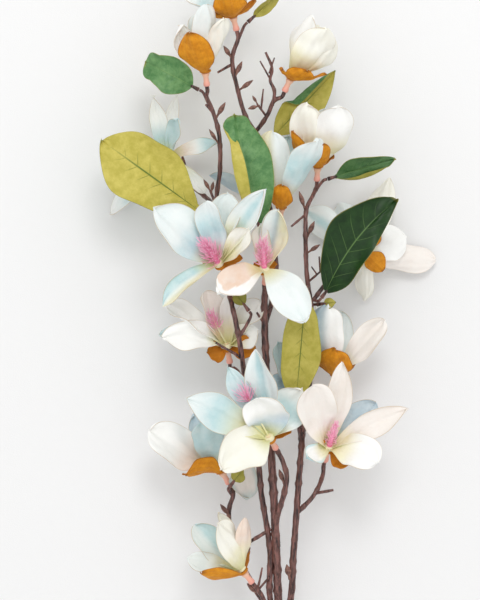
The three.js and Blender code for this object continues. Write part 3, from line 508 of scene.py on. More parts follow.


# %% [markdown]
# ## Blooms
# A bloom is threaded on one line, its axis: collar, calyx with two or three sepals, ring of
# petals, and in the open blooms a cone of threads. Each row below is one blade: where its
# tip is, how wide it is, its belly (how many degrees it leaves the axis by before it turns
# to its tip), for a petal its words, and its roll, where its face is turned.

# %% The sixteen blooms
# In a petal's words, grey is painted blue-grey shade on a petal or a part of one that lies in shade.
BLOOMS = [
    dict(base=(-6, 254, 60), axis=(-0.25, 0.95, 0.18), petals=[
        (-50, 268, 56, 22, -4, "aqua middle, tip in", -15),
        (-31, 295, 72, 26, 12, "aqua base"),
        (-4, 302, 70, 26, 14, "cream base"),
        (16, 288, 60, 24, 12, "cream base"),
        (-16, 298, 48, 26, 14, "aqua all"),
        (-17, 296, 86, 24, 14, "aqua faint"),
    ], sepals=[(-13, 276, 98, 32, 34), (-28, 259, 62, 16, 30), (14, 270, 58, 18, 26)]),
    dict(base=(-31, 204, 66), axis=(-0.1, 0.95, 0.28), petals=[
        (-31, 264, 94, 30, 12, "aqua faint, cream base"),
        (-15, 252, 88, 24, 14, "cream faint, edge right", -30),
        (-57, 246, 74, 26, 18, "aqua base, tip in", -35),
        (-38, 258, 60, 28, 12, "aqua faint"),
    ], sepals=[(-45, 238, 112, 33, 27), (-30, 226, 40, 16, 8)]),
    dict(base=(45, 198, 66), axis=(0.42, 0.88, 0.2), petals=[
        (66, 254, 78, 36, 22, "cream base", 40),
        (77, 243, 94, 40, 22, "cream base, cream faint"),
        (85, 234, 78, 32, 28, "cream base, cream faint", -40),
        (72, 246, 60, 32, 24, "cream faint"),
    ], sepals=[(38, 206, 82, 16, 12), (60, 205, 92, 26, 26), (77, 203, 76, 15, 16)]),
    dict(base=(-66, 125, 27), axis=(-0.2, 0.6, 0.75), petals=[
        (-78, 185, 42, 17, -10, "aqua base, tip in, end sharp"),
        (-56, 186, 34, 15, -6, "aqua base, tip in, end sharp"),
        (-56, 163, 58, 24, 4, "aqua all"),
        (-20, 142, 40, 19, -8, "blush base, aqua tip, end sharp"),
        (-31, 97, 36, 16, -6, "cream base"),
        (-118, 78, 4, 22, -6, "aqua middle"),
        (-116, 122, 10, 24, -10, "aqua base"),
    ], sepals=[(-84, 134, 10, 15, 6), (-82, 116, 22, 15, 4), (-62, 114, 31, 16, 8)]),
    dict(base=(37, 82, 54), axis=(0.05, 0.95, 0.3), petals=[
        (29, 151, 84, 34, 10, "cream left, aqua faint, cup flat", 48),
        (69, 144, 96, 36, 6, "aqua middle, aqua faint, edge right", -22),
        (44, 148, 46, 26, 8, "aqua all"),
        (-27, 113, 24, 26, 6, "grey all, aqua faint", 50),
    ], sepals=[(37, 103, 84, 22, 30), (42, 103, 37, 16, 18)]),
    dict(base=(70, 119, 52), axis=(0.05, 0.95, 0.25), petals=[
        (60, 176, 78, 32, 16, "cream base, cream faint, cup flat", 40),
        (88, 174, 84, 35, 14, "cream base, cup flat, end round", -40),
        (101, 163, 62, 24, 26, "cream faint", -20),
        (50, 165, 62, 22, 22, "cream faint"),
        (76, 172, 62, 24, 12, "aqua faint"),
    ], sepals=[(47, 151, 82, 21, 26), (75, 140, 88, 17, 22), (84, 133, 46, 16, 14)]),
    dict(base=(-17, 30, 82), axis=(-0.42, 0.58, 0.7), threads=dict(count=170, reach=1.15), petals=[
        (-77, 82, 112, 44, -8, "aqua base, aqua faint, cup flat, end sharp"),
        (-31, 87, 112, 27, 2, "aqua middle, aqua faint", 28),
        (-11, 95, 104, 32, -4, "aqua faint, cream base", 24),
        (23, 98, 126, 29, -6, "aqua rib, aqua faint, cream base, edge left, end sharp", 36),
        (-69, -5, 98, 26, -20, "aqua left, cream right, edge left, end sharp"),
        (7, 63, 118, 22, 6, "cream faint, cream base", 42),
    ], sepals=[(2, 38, 86, 14, -4), (3, 14, 88, 18, -4), (-34, 42, 72, 16, 10)]),
    dict(base=(22, 24, 78), axis=(-0.05, 0.8, 0.6), threads=dict(count=130, reach=0.95), petals=[
        (34, 80, 102, 33, 8, "grey rib, cream left, aqua faint, edge right", 12),
        (18, 66, 90, 18, 2, "cream faint, blush base"),
        (-19, 6, 112, 31, -16, "blush flap, blush flap", -35),
        (57, -20, 106, 35, -28, "aqua faint, cup flat", 20),
    ], sepals=[(13, 33, 74, 11, 4), (32, 34, 74, 11, 4)]),
    dict(base=(112, 44, 46), axis=(0.15, -0.1, -0.98), petals=[
        (136, 111, 16, 28, -10, "cream faint, end sharp"),
        (60, 81, 14, 30, -10, "aqua faint, aqua rib"),
        (90, 88, 3, 30, -10, "aqua faint"),
        (150, 57, 26, 35, -6, "cup flat, end round"),
        (178, 36, 8, 29, -12, "blush faint"),
        (113, -2, 12, 18, -8, "cream faint, tip in"),
    ], sepals=[(130, 27, 38, 20, -10), (92, 58, 38, 18, -10), (124, 68, 34, 18, -10)]),
    dict(base=(-11, -46, 48), axis=(-0.15, 0.9, 0.4),
        threads=dict(count=60, cone=(-0.45, 0.85, 0.35), reach=0.8, star=0.55, heart=1.25), petals=[
            (-66, -5, 68, 33, -6, "widest high", -15),
            (-69, -34, 80, 31, -24, "end sharp", -60),
            (-73, -31, 46, 20, -6, "aqua all", -40),
            (-31, 8, 58, 28, 4, "blush base, blush faint"),
            (-8, 6, 60, 24, 4, "cream base"),
            (19, 0, 60, 32, 2, "cream base", 20),
            (17, -28, 62, 26, -2, "cream base", 50),
        ], sepals=[(-29, -47, 58, 22, 6, -67), (13, -40, 58, 24, 6, 70)]),
    dict(base=(28, -126, 84), axis=(-0.35, 0.6, 0.72),
        threads=dict(count=44, cone=(-0.44, 0.82, 0.3), reach=1.25, star=0.9, heart=1.7), petals=[
            (14, -44, 112, 33, 4, "aqua rib, aqua faint, end sharp"),
            (-11, -60, 100, 24, -4, "aqua all, end sharp"),
            (-48, -88, 116, 34, -6, "aqua middle, aqua faint, cream base, end sharp", -35),
            (-16, -150, 116, 42, -24, "cream faint, widest low, end round", -45),
            (16, -88, 120, 42, 14, "grey base, cup flat", 50),
            (55, -80, 88, 38, 0, "aqua middle, cup flat", 45),
        ], sepals=[(6, -130, 82, 13, 0), (46, -116, 82, 13, 0)]),
    dict(base=(-16, -156, 44), axis=(-0.5, 0.82, 0.2), petals=[
        (-81, -117, 58, 39, 2, "blush base, cup flat, end round", -60),
        (-33, -107, 74, 36, 4, "aqua all, aqua faint", -20),
        (-41, -103, 44, 26, 2, "grey all, aqua faint"),
        (7, -180, 36, 28, -66, "blush faint, aqua rim, end round", 90),
    ], sepals=[(-49, -156, 76, 30, -18, 20), (-10, -140, 22, 13, 4)]),
    dict(base=(86, -70, 44), axis=(0.15, 0.95, 0.2), petals=[
        (79, -5, 68, 33, 16, "grey left, cup flat, end round", 55),
        (130, -18, 56, 26, 0, "blush faint, cup flat", 60),
        (68, 1, 38, 20, 4, "aqua faint"),
        (92, -10, 32, 26, 8, "aqua faint"),
    ], sepals=[(85, -44, 76, 34, 24), (107, -50, 31, 18, 12), (66, -50, 36, 16, 8)]),
    dict(base=(79, -136, 60), axis=(0.2, 0.75, 0.62), threads=dict(count=120, reach=0.6), petals=[
        (92, -56, 92, 27, 0, "blush faint, end sharp"),
        (64, -77, 108, 38, 2, "blush faint, cup flat, end round", -62),
        (122, -92, 62, 28, 0, "grey all", 20),
        (150, -97, 94, 25, -6, "blush faint, end sharp", 45),
        (123, -145, 94, 34, -26, "cream base, cup flat, end round", 40),
        (60, -141, 86, 20, -2, "cream base, aqua rim", -30),
    ], sepals=[(67, -131, 72, 16, 0, -60), (100, -146, 68, 24, -6, 52)]),
    dict(base=(52, -84, 24), axis=(-0.1, 0.92, 0.26), petals=[
        (35, -39, 40, 31, 4, "aqua all, grey base", -70),
        (28, -78, 34, 24, -16, "grey all, aqua all", -60),
        (50, -22, 36, 22, 8, "aqua middle"),
        (70, -48, 20, 20, 4, "grey all"),
    ], sepals=[(44, -62, 5, 13, 4), (60, -62, 10, 13, 6)]),
    dict(base=(4, -246, 56), axis=(-0.6, 0.75, 0.25), petals=[
        (-40, -202, 62, 30, 18, "aqua left, aqua faint", -20),
        (-20, -200, 86, 32, 24, "cream faint, cream base, cup flat, end round", 12),
        (-17, -189, 56, 18, 12, "cream faint, tip in"),
        (4, -195, 82, 20, 6, "blush all, cream base, end sharp", -40),
        (-47, -232, 70, 24, 8, "cream base, aqua faint", -45),
    ], sepals=[(-35, -243, 86, 23, 20, 12), (6, -226, 42, 13, 8)]),
]
print(len(BLOOMS), "blooms with", sum(len(bloom["petals"]) for bloom in BLOOMS), "petals")

# %% [markdown]
# ## Petals and sepals
# The half width rises from a narrow claw to its widest place and falls to a round tip. The
# relief is what the press and the hand did: a shallow middle crease, waves that grow towards
# the edge, soft dents, and a tip that is drawn out to a small point. Seeds make no two alike
# and the same picture each time. The shape words choose between the moulds of the set: a
# flatter cup, a tip that curls in, an edge that is folded over, a sharper or rounder end, and
# a lower or higher widest place.

# %% Sizes of a bloom's foot, and the moulds of its petals
GAP = 0.3
CALYX_HEIGHT = 2.4
CALYX_RADIUS = 5.2
RING_HEIGHT = 4
RING_RADIUS = 4.5
PETAL_FOOT = (CALYX_HEIGHT + 2 * GAP + RING_HEIGHT * 0.5, RING_RADIUS - 1.2)
SEPAL_FOOT = (GAP + CALYX_HEIGHT * 0.5, CALYX_RADIUS - 1.7)
MOULDS = dict(
    cup=dict(plain=1, flat=0.5),
    tip={"plain": 0, "in": 1.5},
    edge=dict(plain=NO_FOLD, left=(-0.74, 0, 2, 1.6), right=(0.74, 0, 2, 1.6)),
    end=dict(plain=(2.4, 0.55), sharp=(1.9, 0.82), round=(2.8, 0.5)),
    widest=dict(plain=0.62, low=0.42, high=0.72),
)


# %% Outline, curve and relief of a blade
def clawed(width, claw, widest, tip, end):
    def half(t):
        if t < widest:
            return width / 2 * (claw + (1 - claw) * sin(pi / 2 * t / widest))
        fall = (t - widest) / (1 - widest)
        return width / 2 * max(tip, (1 - fall ** end[0]) ** end[1])
    return half


def ring_blade(base, axis, point, height, radius, belly):
    """The curve of a blade from its ring to its tip, and the way across at its root."""
    tip = Vector(point) - base
    outward = (tip - axis * axis.dot(tip)).normalized()
    root = axis * height + outward * radius
    reach = tip - root
    lean = atan2(reach.dot(outward), reach.dot(axis)) + radians(belly)
    bow = root + (axis * cos(lean) + outward * sin(lean)) * reach.length * 0.5
    return Curve(root + base, bow + base, tip + base), axis.cross(outward).normalized()


def handled(width, wave, seed, tip_curl=0):
    """The relief of a blade: how far a point leaves the plain surface and stretches along
    and across it."""
    def relief(s, t):
        grown = smooth_step(0.15, 0.6, t)
        edge = abs(s) ** 2.2 * sin(t * 8.5 + seed * 6.3 + (1.7 if s > 0 else 0))
        crease = -exp(-(s / 0.14) ** 2)
        folds = cos(s * 8.5 + seed * 4) * (1 - s * s)
        dents = noise.noise(Vector((s * 1.8, t * 3.4, seed * 9.1)))
        curl = tip_curl * max(0, t - 0.62) ** 2
        pressed_in = wave * edge + 0.022 * crease + 0.013 * folds + 0.07 * dents
        rise = width * (grown * pressed_in + curl)
        notch = noise.noise(Vector((s * 3.5, seed * 5.7, 0.5)))
        point = exp(-(s / 0.2) ** 2)
        stretch = smooth_step(0.7, 1, t) * width * (0.055 * notch + 0.03 * point - 0.012)
        spread = 1 + 0.09 * noise.noise(Vector((t * 3.5, seed * 7.7, 2 if s > 0 else 0)))
        return rise, stretch, spread
    return relief


# %% One petal and one sepal
PETAL_CLAW = 6
PETAL_WAVE = 0.08
PETAL_CUP = 1.1
PETAL_OPENING = 0.55
SEPAL_CLAW = 5
SEPAL_WAVE = 0.06
SEPAL_CUP = 0.7


def lay_petal(bm, base, axis, row, seed):
    *point, width, belly, words, roll = (*row, 0)[:7]
    curve, side = ring_blade(base, axis, point, *PETAL_FOOT, belly)
    shape = {name: kinds["plain"] for name, kinds in MOULDS.items()}
    for name, kind in (pair.split() for pair in words.split(",")):
        if name in MOULDS:
            shape[name] = MOULDS[name][kind]
    outline = clawed(width, PETAL_CLAW / width, shape["widest"], 0.05, shape["end"])
    relief = handled(width, PETAL_WAVE, seed, shape["tip"])
    lay_blade(bm, curve, side, outline,
        lambda t: (PETAL_CUP - PETAL_OPENING * t) * shape["cup"],
        roll, relief, painter(words), shape["edge"])


def lay_sepal(bm, base, axis, row, seed):
    *point, width, belly, roll = (*row, 0)[:6]
    curve, side = ring_blade(base, axis, point, *SEPAL_FOOT, belly)
    outline = clawed(width, SEPAL_CLAW / width, 0.5, 0.08, MOULDS["end"]["plain"])
    relief = handled(width, SEPAL_WAVE, seed)
    lay_blade(bm, curve, side, outline, lambda t: SEPAL_CUP, roll, relief, painter(""))


# %% [markdown]
# ## Turned parts
# Collar, calyx and ring are turned about the bloom's axis. A half outline is spun once
# round and welded, with its ends on the axis, so the solid is closed. The outline's second
# number runs along the axis, and it also tells the material how far up a point is.

# %% Spinning an outline about an axis
TURNED_STEPS = 24


def spin_outline(bm, outline, base, axis, material_index=0):
    place = bm.verts.layers.float_vector["place"]
    lowest = min(height for _, height in outline)
    span = max(height for _, height in outline) - lowest
    chain = [bm.verts.new((radius, 0, height)) for radius, height in outline]
    edges = [bm.edges.new(pair) for pair in zip(chain, chain[1:])]
    for vert in chain:
        vert[place] = (0, (vert.co.z - lowest) / span, 0)
    before = set(bm.faces)
    bmesh.ops.spin(bm, geom=chain + edges, cent=(0, 0, 0), axis=(0, 0, 1), dvec=(0, 0, 0),
        angle=tau, steps=TURNED_STEPS, use_merge=True)
    faces = [face for face in bm.faces if face not in before]
    verts = {vert for face in faces for vert in face.verts}
    turn = UP.rotation_difference(axis).to_matrix()
    for vert in verts:
        vert.co = turn @ vert.co + base
    for face in faces:
        face.material_index = material_index


# %% [markdown]
# ## Tubes along a route
# Twigs, threads and buds are tubes. A grid is wrapped round a list of points, one ring at a
# point, with a radius for each ring. A ring of radius nought closes an end. The frame that
# carries the ring is turned no more than the route asks, so that the tube doesn't twist.

# %% Wrapping a grid round a route


def wrap_tube(bm, points, radii, sides, marks=None, material_index=0, rough=0):
    place = bm.verts.layers.float_vector["place"]
    last = len(points) - 1
    tangents = [(points[min(i + 1, last)] - points[max(i - 1, 0)]).normalized()
        for i in range(last + 1)]
    normal = Vector((1, 0, 0.3))
    rings = []
    for tangent in tangents:
        normal = (normal - tangent * normal.dot(tangent)).normalized()
        rings.append((normal.copy(), normal.cross(tangent)))
    tube = bmesh.ops.create_grid(bm, x_segments=sides, y_segments=last, size=1)
    for face in {face for vert in tube["verts"] for face in vert.link_faces}:
        face.material_index = material_index
    for vert in tube["verts"]:
        ring = round((vert.co.y + 1) / 2 * last)
        angle = (vert.co.x + 1) * pi
        normal, across = rings[ring]
        outward = normal * cos(angle) + across * sin(angle)
        bump = 1 + rough * noise.noise(outward * 1.3 + points[ring] * 0.16)
        vert.co = points[ring] + outward * radii[ring] * bump
        vert[place] = (angle / tau, ring / last, marks[ring] if marks else 0)


# %% [markdown]
# ## Threads
# Stamens stand all round a slim heart, low ones leaning out and high ones along the axis.
# Each is a thin tube that bends back towards its tip. A golden angle between neighbours
# spreads them evenly without a pattern.

# %% The cone of threads in an open bloom
HEART_LENGTH = 25
HEART_RADIUS = 2.6
BARE_HEART_RADIUS = 0.9
GOLDEN_ANGLE = pi * (3 - sqrt(5))
THREAD_BITS = 8
THREAD_RADIUS = 0.26
THREAD_TIP_RADIUS = 0.34


def lay_threads(bm, base, axis, seed, count, cone=None, reach=1, star=0, heart=1):
    """Threads round a heart, from the share star of its length on. reach and heart scale how
    long the threads and the heart are."""
    draw = random.Random(seed)
    cone = Vector(cone or axis).normalized()
    foot = base + axis * (3 * GAP + CALYX_HEIGHT + RING_HEIGHT - 1)
    long = HEART_LENGTH * heart
    thick = HEART_RADIUS if star == 0 else BARE_HEART_RADIUS
    spin_outline(bm, [(0, 0), (thick, 0), (thick * 0.8, long * 0.4), (0.8, long), (0, long + 0.6)],
        foot, cone, material_index=1 if star == 0 else 2)
    side = Vector((1, 0, 0)).cross(cone).normalized()
    for i in range(count):
        share = star + (1 - star) * (i + 0.5) / count
        open_share = (share - star) / (1 - star)
        spread = 1.25 - 0.8 * open_share + draw.uniform(-0.2, 0.2)
        around = Matrix.Rotation(i * GOLDEN_ANGLE, 3, cone) @ side
        start = foot + cone * long * (0.04 + 0.95 * share)
        way = cone * cos(spread) + around * sin(spread)
        sway = way.cross(cone).normalized() * draw.uniform(-1, 1)
        length = draw.uniform(7.5, 11) * (1.15 - 0.3 * open_share) * reach
        curl = draw.uniform(0.15, 0.65)
        points = []
        for step in range(THREAD_BITS + 1):
            t = step / THREAD_BITS
            bent = cone * (curl * t * t) + sway * (0.22 * t * sin(t * 5 + i))
            points.append(start + (way * t + bent) * length)
        radii = [THREAD_RADIUS] * (THREAD_BITS - 1) + [THREAD_TIP_RADIUS, 0]
        wrap_tube(bm, points, radii, 4, material_index=1)


# %% Making the blooms
COLLAR_LENGTH = 12
COLLAR_TOP_RADIUS = 3.8
CALYX_TOP = GAP + CALYX_HEIGHT
RING_TOP = CALYX_TOP + GAP + RING_HEIGHT
CORE_OUTLINE = [
    (0, -COLLAR_LENGTH), (2.6, -COLLAR_LENGTH), (3, -11.3), (2.9, -9), (2.5, -8), (2.4, -4),
    (COLLAR_TOP_RADIUS, -0.6), (3.3, 0), (2, 0), (2, RING_TOP + 1), (0, RING_TOP + 1),
]
CALYX_OUTLINE = [
    (0, GAP), (COLLAR_TOP_RADIUS, GAP), (CALYX_RADIUS, GAP + 1), (CALYX_RADIUS, CALYX_TOP - 0.3),
    (CALYX_RADIUS - 0.5, CALYX_TOP), (0, CALYX_TOP),
]
RING_OUTLINE = [
    (0, CALYX_TOP + GAP), (RING_RADIUS - 1, CALYX_TOP + GAP), (RING_RADIUS, CALYX_TOP + 1),
    (RING_RADIUS, RING_TOP - 1), (RING_RADIUS - 1, RING_TOP), (0, RING_TOP),
]

for number, bloom in enumerate(BLOOMS, start=1):
    base = Vector(bloom["base"])
    axis = Vector(bloom["axis"]).normalized()
    core, calyx, petals = new_bmesh(), new_bmesh(), new_bmesh()
    spin_outline(core, CORE_OUTLINE, base, axis)
    if "threads" in bloom:
        lay_threads(core, base, axis, number, **bloom["threads"])
    spin_outline(calyx, CALYX_OUTLINE, base, axis)
    for index, row in enumerate(bloom["sepals"]):
        lay_sepal(calyx, base, axis, row, number + index * 0.37)
    spin_outline(petals, RING_OUTLINE, base, axis)
    for index, row in enumerate(bloom["petals"]):
        lay_petal(petals, base, axis, row, number + index * 0.31)
    parts = [("core", core, [collar_plastic, thread_dye, petal_silk]),
        ("calyx", calyx, [sepal_silk]), ("petals", petals, [petal_silk])]
    for part, bm, materials in parts:
        finish_piece(f"magnolia_{number:02d}_{part}", bm, materials, f"bloom_{number:02d}_{part}", part)

# %% [markdown]
# ## Leaves
# A leaf is a blade on a short sleeve that goes over a peg of the twig. Row: where its stalk
# leaves the twig, where the sleeve starts, its tip, its width, how far its middle arches up,
# its roll, its widest place, how blunt its tip is, how an edge is folded over its face, how
# dark it was printed, how much fuller its left half is, and which side faces up.

# %% The eleven leaves
LONG_FOLD = (0.42, -0.2, 0.98, 1.5)
SPREAD_FOLD = (0.45, 0.3, 2, 1.5)
LOW_FOLD = (-0.5, -0.2, 1.05, 1.3)
LEAVES = [
    ((-26, 172, 60), (-37, 189, 64), (-85, 214, 62), 34, 14, -10, 0.9, 0.75, NO_FOLD, 0, 0, leaf_face),
    ((-2, 233, 58), (7, 250, 60), (44, 284, 62), 19, 4, 68, 0.9, 0.1, NO_FOLD, 0.3, 0, leaf_back),
    ((18, 138, 51), (26, 143, 50), (86, 207, 50), 37, -6, 10, 0.9, 0.1, SPREAD_FOLD, 0.2, 0, leaf_back),
    ((-20, 72, 54), (-32, 77, 62), (-124, 143, 72), 64, 14, 0, 1.2, 0.2, NO_FOLD, 0, 0, leaf_back),
    ((30, 56, 43), (18, 62, 62), (-5, 166, 72), 51, 22, 4, 0.95, 0.5, LONG_FOLD, 0, 0, leaf_face),
    ((67, 97, 51), (79, 109, 56), (140, 127, 58), 30, 8, 35, 0.9, 0.05, LOW_FOLD, 0.45, 0, leaf_face),
    ((65, 0, 67), (73, 2, 72), (141, 90, 84), 50, 16, 0, 0.9, 0.3, NO_FOLD, 1, 0.7, leaf_face),
    ((62, 12, 68), (59, 7, 74), (50, -94, 70), 37, 4, 0, 0.9, 0.3, NO_FOLD, 0.15, 0, leaf_back),
    ((-1, -34, 81), (8, -10, 80), (-5, 8, 80), 13, 2, 0, 0.9, 0.1, NO_FOLD, 0.6, 0, leaf_back),
    ((64, -10, 65), (69, -4, 62), (86, -2, 70), 10, 2, 0, 0.9, 0.1, NO_FOLD, 0.3, 0, leaf_back),
    ((-7, -177, 42), (-9, -168, 52), (3, -152, 66), 13, 2, 0, 0.9, 0.1, NO_FOLD, 0.4, 0, leaf_back),
]
print(len(LEAVES), "leaves")

# %% Shape of a leaf
LEAF_GRID = (24, 44)
LEAF_CUP = 0.5
SKEW_BOW = 20
FLAT_REACH = 60


def leaf_way(base, tip, lift):
    """The way a leaf leaves its peg."""
    reach = tip - base
    flat = Vector((reach.x, reach.y, 0)).length
    reach.z += max(lift, 0) * 0.6 * min(1, flat / FLAT_REACH)
    return reach.normalized()


def pressed(width, seed, skew):
    def relief(s, t):
        rib = -0.6 * exp(-(s / 0.07) ** 2)
        slant = (t * (SIDE_VEINS + 1) - abs(s) * VEIN_SLANT) % 1
        quilt = 0.018 * width * sin(pi * slant) * min(1, abs(s) * 4) * (1 - s * s)
        wave = 0.05 * width * abs(s) ** 2.5 * sin(t * 11 + seed * 5 + (2 if s > 0 else 0))
        dents = 0.05 * width * noise.noise(Vector((s * 1.5, t * 4, seed)))
        spread = 1 + 0.12 * noise.noise(Vector((t * 3.5, seed * 7.7, 2 if s > 0 else 0)))
        spread += skew * (min(0.4, 1.1 * t - 0.3) if s > 0 else -0.05 - 0.6 * t)
        return smooth_step(0.02, 0.2, t) * (rib + quilt + wave + dents), 0, spread
    return relief


def leaf_outline(width, fullest, blunt):
    def half(t):
        body = sin(pi * t ** fullest) ** (1.2 - 2.5 * min(blunt, 0.2)) if t < 1 else 0
        rounded = sqrt(max(0, 1 - (max(0, t - 0.8) / 0.2) ** 3))
        return width / 2 * max(body, 0.1 * (1 - t) if t < 0.5 else blunt * rounded, 0.01)
    return half


# %% Making the leaves
SLEEVE_LENGTH = 8
SLEEVE_RADIUS = 2
SLEEVE_OUTLINE = [
    (0, 0), (SLEEVE_RADIUS - 0.4, 0), (SLEEVE_RADIUS, 0.5), (SLEEVE_RADIUS * 0.8, 4),
    (SLEEVE_RADIUS * 0.6, SLEEVE_LENGTH), (0, SLEEVE_LENGTH + 3),
]
LEAF_SLOTS = {leaf_face: "leaf_green", leaf_back: "leaf_olive"}

for number, row in enumerate(LEAVES, start=1):
    base, tip, width, lift, roll, fullest, blunt, fold, dark, skew, cloth_side = row[1:]
    base, tip = Vector(base), Vector(tip)
    way = leaf_way(base, tip, lift)
    start = base + way * (SLEEVE_LENGTH - 1)
    side = UP.cross(tip - base).normalized()
    bow = (start + tip) / 2 + UP * (lift * 1.4) + side * skew * SKEW_BOW
    bm = new_bmesh()
    lay_blade(bm, Curve(start, bow, tip), side, leaf_outline(width, fullest, blunt),
        lambda t: LEAF_CUP, roll, pressed(width, number, skew),
        lambda s, t: (dark, 0, 0, 0), fold, LEAF_GRID)
    spin_outline(bm, SLEEVE_OUTLINE, base, way, material_index=1)
    finish_piece(f"spray_leaf_{number:02d}", bm, [cloth_side, bark_paint],
        f"leaf_{number:02d}", LEAF_SLOTS[cloth_side])

# %% [markdown]
# ## Stem and twigs
# Each twig is a smooth curve through given points, a centripetal Catmull-Rom spline,
# which passes through every point and never overshoots. It is sampled every 1.6 mm. The
# radius falls along it, swells at knots and trembles a little, as moulded bark does.

# %% Routes of the twigs: points, first and last radius, bloom at the end
TWIGS = [
    ([(36, -392, 4.3), (36, -350, 6), (36, -312, 20), (35, -275, 42)], 4.8, 4, 0),
    ([(36, -302, 26), (34, -258, 48), (32, -212, 58), (30, -170, 60), (28, -135, 58), (25, -90, 58),
        (23, -45, 64), (22, -5, 66)], 4, 3, 8),
    ([(36, -300, 26), (27, -268, 46), (27, -226, 56), (19, -172, 60), (16, -140, 60), (8, -96, 64),
        (1, -46, 80), (-4, -18, 82), (-9, 4, 76)], 2.8, 2.2, 7),
    ([(-7, -4, 79), (-15, 24, 62), (-20, 62, 54), (-21, 94, 56), (-18, 118, 58), (-19, 150, 60),
        (-25, 171, 60), (-30, 184, 60)], 2.2, 1.9, 2),
    ([(23, -20, 65), (32, 12, 48), (31, 50, 42), (28, 76, 38), (23, 106, 41), (18, 140, 51),
        (16, 148, 55), (6, 163, 57), (-3, 193, 58), (-7, 218, 58), (-2, 234, 58)], 2.5, 1.9, 1),
    ([(14, 151, 56), (25, 167, 58), (31, 180, 60)], 2, 1.8, 3),
    ([(29, 175, 60), (31, 188, 61), (27, 198, 60), (29, 208, 60), (23, 223, 60)], 1.6, 1.1, 0),
    ([(24, 165, 58), (15, 177, 60)], 1.2, 0.8, 0),
    ([(19, 172, 59), (21, 190, 61)], 1, 0.7, 0),
    ([(37, -308, 22), (46, -268, 46), (48, -232, 54), (51, -189, 58), (54, -149, 60),
        (57, -113, 58), (62, -80, 54), (64, -40, 58), (64, -8, 66), (60, 23, 68), (59, 60, 66),
        (60, 82, 60), (66, 95, 52)], 3.3, 1.8, 6),
    ([(56, -122, 60), (58, -106, 66)], 2, 1.4, 0),
    ([(55, -120, 60), (51, -108, 62)], 1.6, 1.1, 0),
    ([(34, -222, 58), (33, -198, 62), (39, -176, 70), (42, -158, 72), (38, -144, 72)], 2.6, 2.2, 11),
    ([(51, -192, 58), (64, -179, 58), (71, -168, 54), (75, -156, 48)], 2.2, 1.9, 14),
    ([(66, 0, 67), (80, 18, 66), (96, 34, 68), (107, 43, 66)], 1.9, 1.8, 9),
    ([(57, -118, 58), (66, -108, 44), (79, -94, 38)], 2, 1.9, 13),
    ([(55, -130, 58), (54, -118, 38), (54, -104, 24)], 2, 1.9, 15),
    ([(28, -285, 36), (10, -255, 32), (-6, -220, 36), (-10, -190, 42), (-6, -176, 42)], 2.4, 2, 12),
    ([(34, -294, 32), (24, -276, 44), (18, -264, 50)], 2.2, 1.9, 16),
    ([(6, -80, 69), (0, -68, 48), (-5, -62, 40)], 1.9, 1.8, 10),
    ([(31, 46, 43), (35, 60, 47)], 1.9, 1.8, 5),
    ([(-20, 84, 55), (-26, 88, 36), (-34, 96, 20), (-47, 105, 12)], 2.2, 1.8, 4),
]

# %% Short stubs and buds: foot, tip and radii
STUBS = [
    ((-6, 213, 58), (-20, 205, 54), 1.3, 1),
    ((-21, 84, 55), (-27, 99, 51), 1.4, 1.1),
    ((27, 199, 60), (18, 215, 62), 0.9, 0.6),
    ((26.3, 204, 60), (31, 218, 63), 0.9, 0.6),
    ((2, -52, 79), (-22, -38, 82), 1.3, 1),
    ((22, -22, 65), (15, -11, 68), 1.2, 0.8),
    ((22, -14, 66), (29, -6, 68), 1.2, 0.8),
    ((59, 77, 62), (46, 66, 68), 1.2, 0.9),
    ((61, 16, 68), (74, 27, 72), 1.1, 0.8),
    ((72, 25, 71), (71, 39, 75), 0.9, 0.7),
    ((69, 23, 71), (64, 30, 73), 0.8, 0.6),
    ((68, -174, 56), (84, -171, 62), 1.6, 1.1),
    ((58, -186, 58), (67, -174, 64), 1.2, 0.9),
    ((28, -206, 58), (7, -219, 56), 1.7, 1.5),
    ((16, -262, 51), (26, -250, 56), 1.2, 0.8),
    ((16, -261, 51), (20, -241, 58), 1, 0.8),
    ((-24, 168, 60), (-31, 176, 62), 1.2, 1),
    ((18, -150, 60), (13, -143, 62), 1.2, 0.9),
]
BUDS = [
    ((-22, 163, 60), (-13, 178, 64), 2.4),
    ((-19, 140, 59), (-28, 154, 60), 1.8),
    ((-26, 96, 51), (-24, 107, 54), 1.8),
    ((-26, 97, 51), (-33, 109, 53), 1.8),
    ((-48, 106, 12), (-53, 134, 20), 2.2),
    ((-7, 217, 58), (-15, 229, 60), 2.2),
    ((-5, 200, 58), (2, 215, 60), 2.4),
    ((-2, 188, 58), (12, 198, 62), 2.2),
    ((18, 175, 60), (7, 172, 60), 2),
    ((59, 80, 60), (53, 98, 66), 2.2),
    ((60, 56, 66), (67, 71, 70), 2.4),
    ((60, 42, 67), (72, 50, 70), 2),
    ((40, -166, 70), (35, -152, 66), 2.4),
    ((-9, -196, 42), (-18, -184, 48), 2.2),
    ((20, -266, 50), (6, -256, 44), 3.2),
    ((7, -217, 56), (6, -229, 54), 3.2),
    ((45, -252, 51), (42, -238, 56), 3),
    ((16, 176, 60), (11, 184, 62), 1.4),
]
print(len(TWIGS), "twigs,", len(STUBS), "stubs and", len(BUDS), "buds")

# %% A spline through the points of a route
TWIG_SAMPLE = 1.6


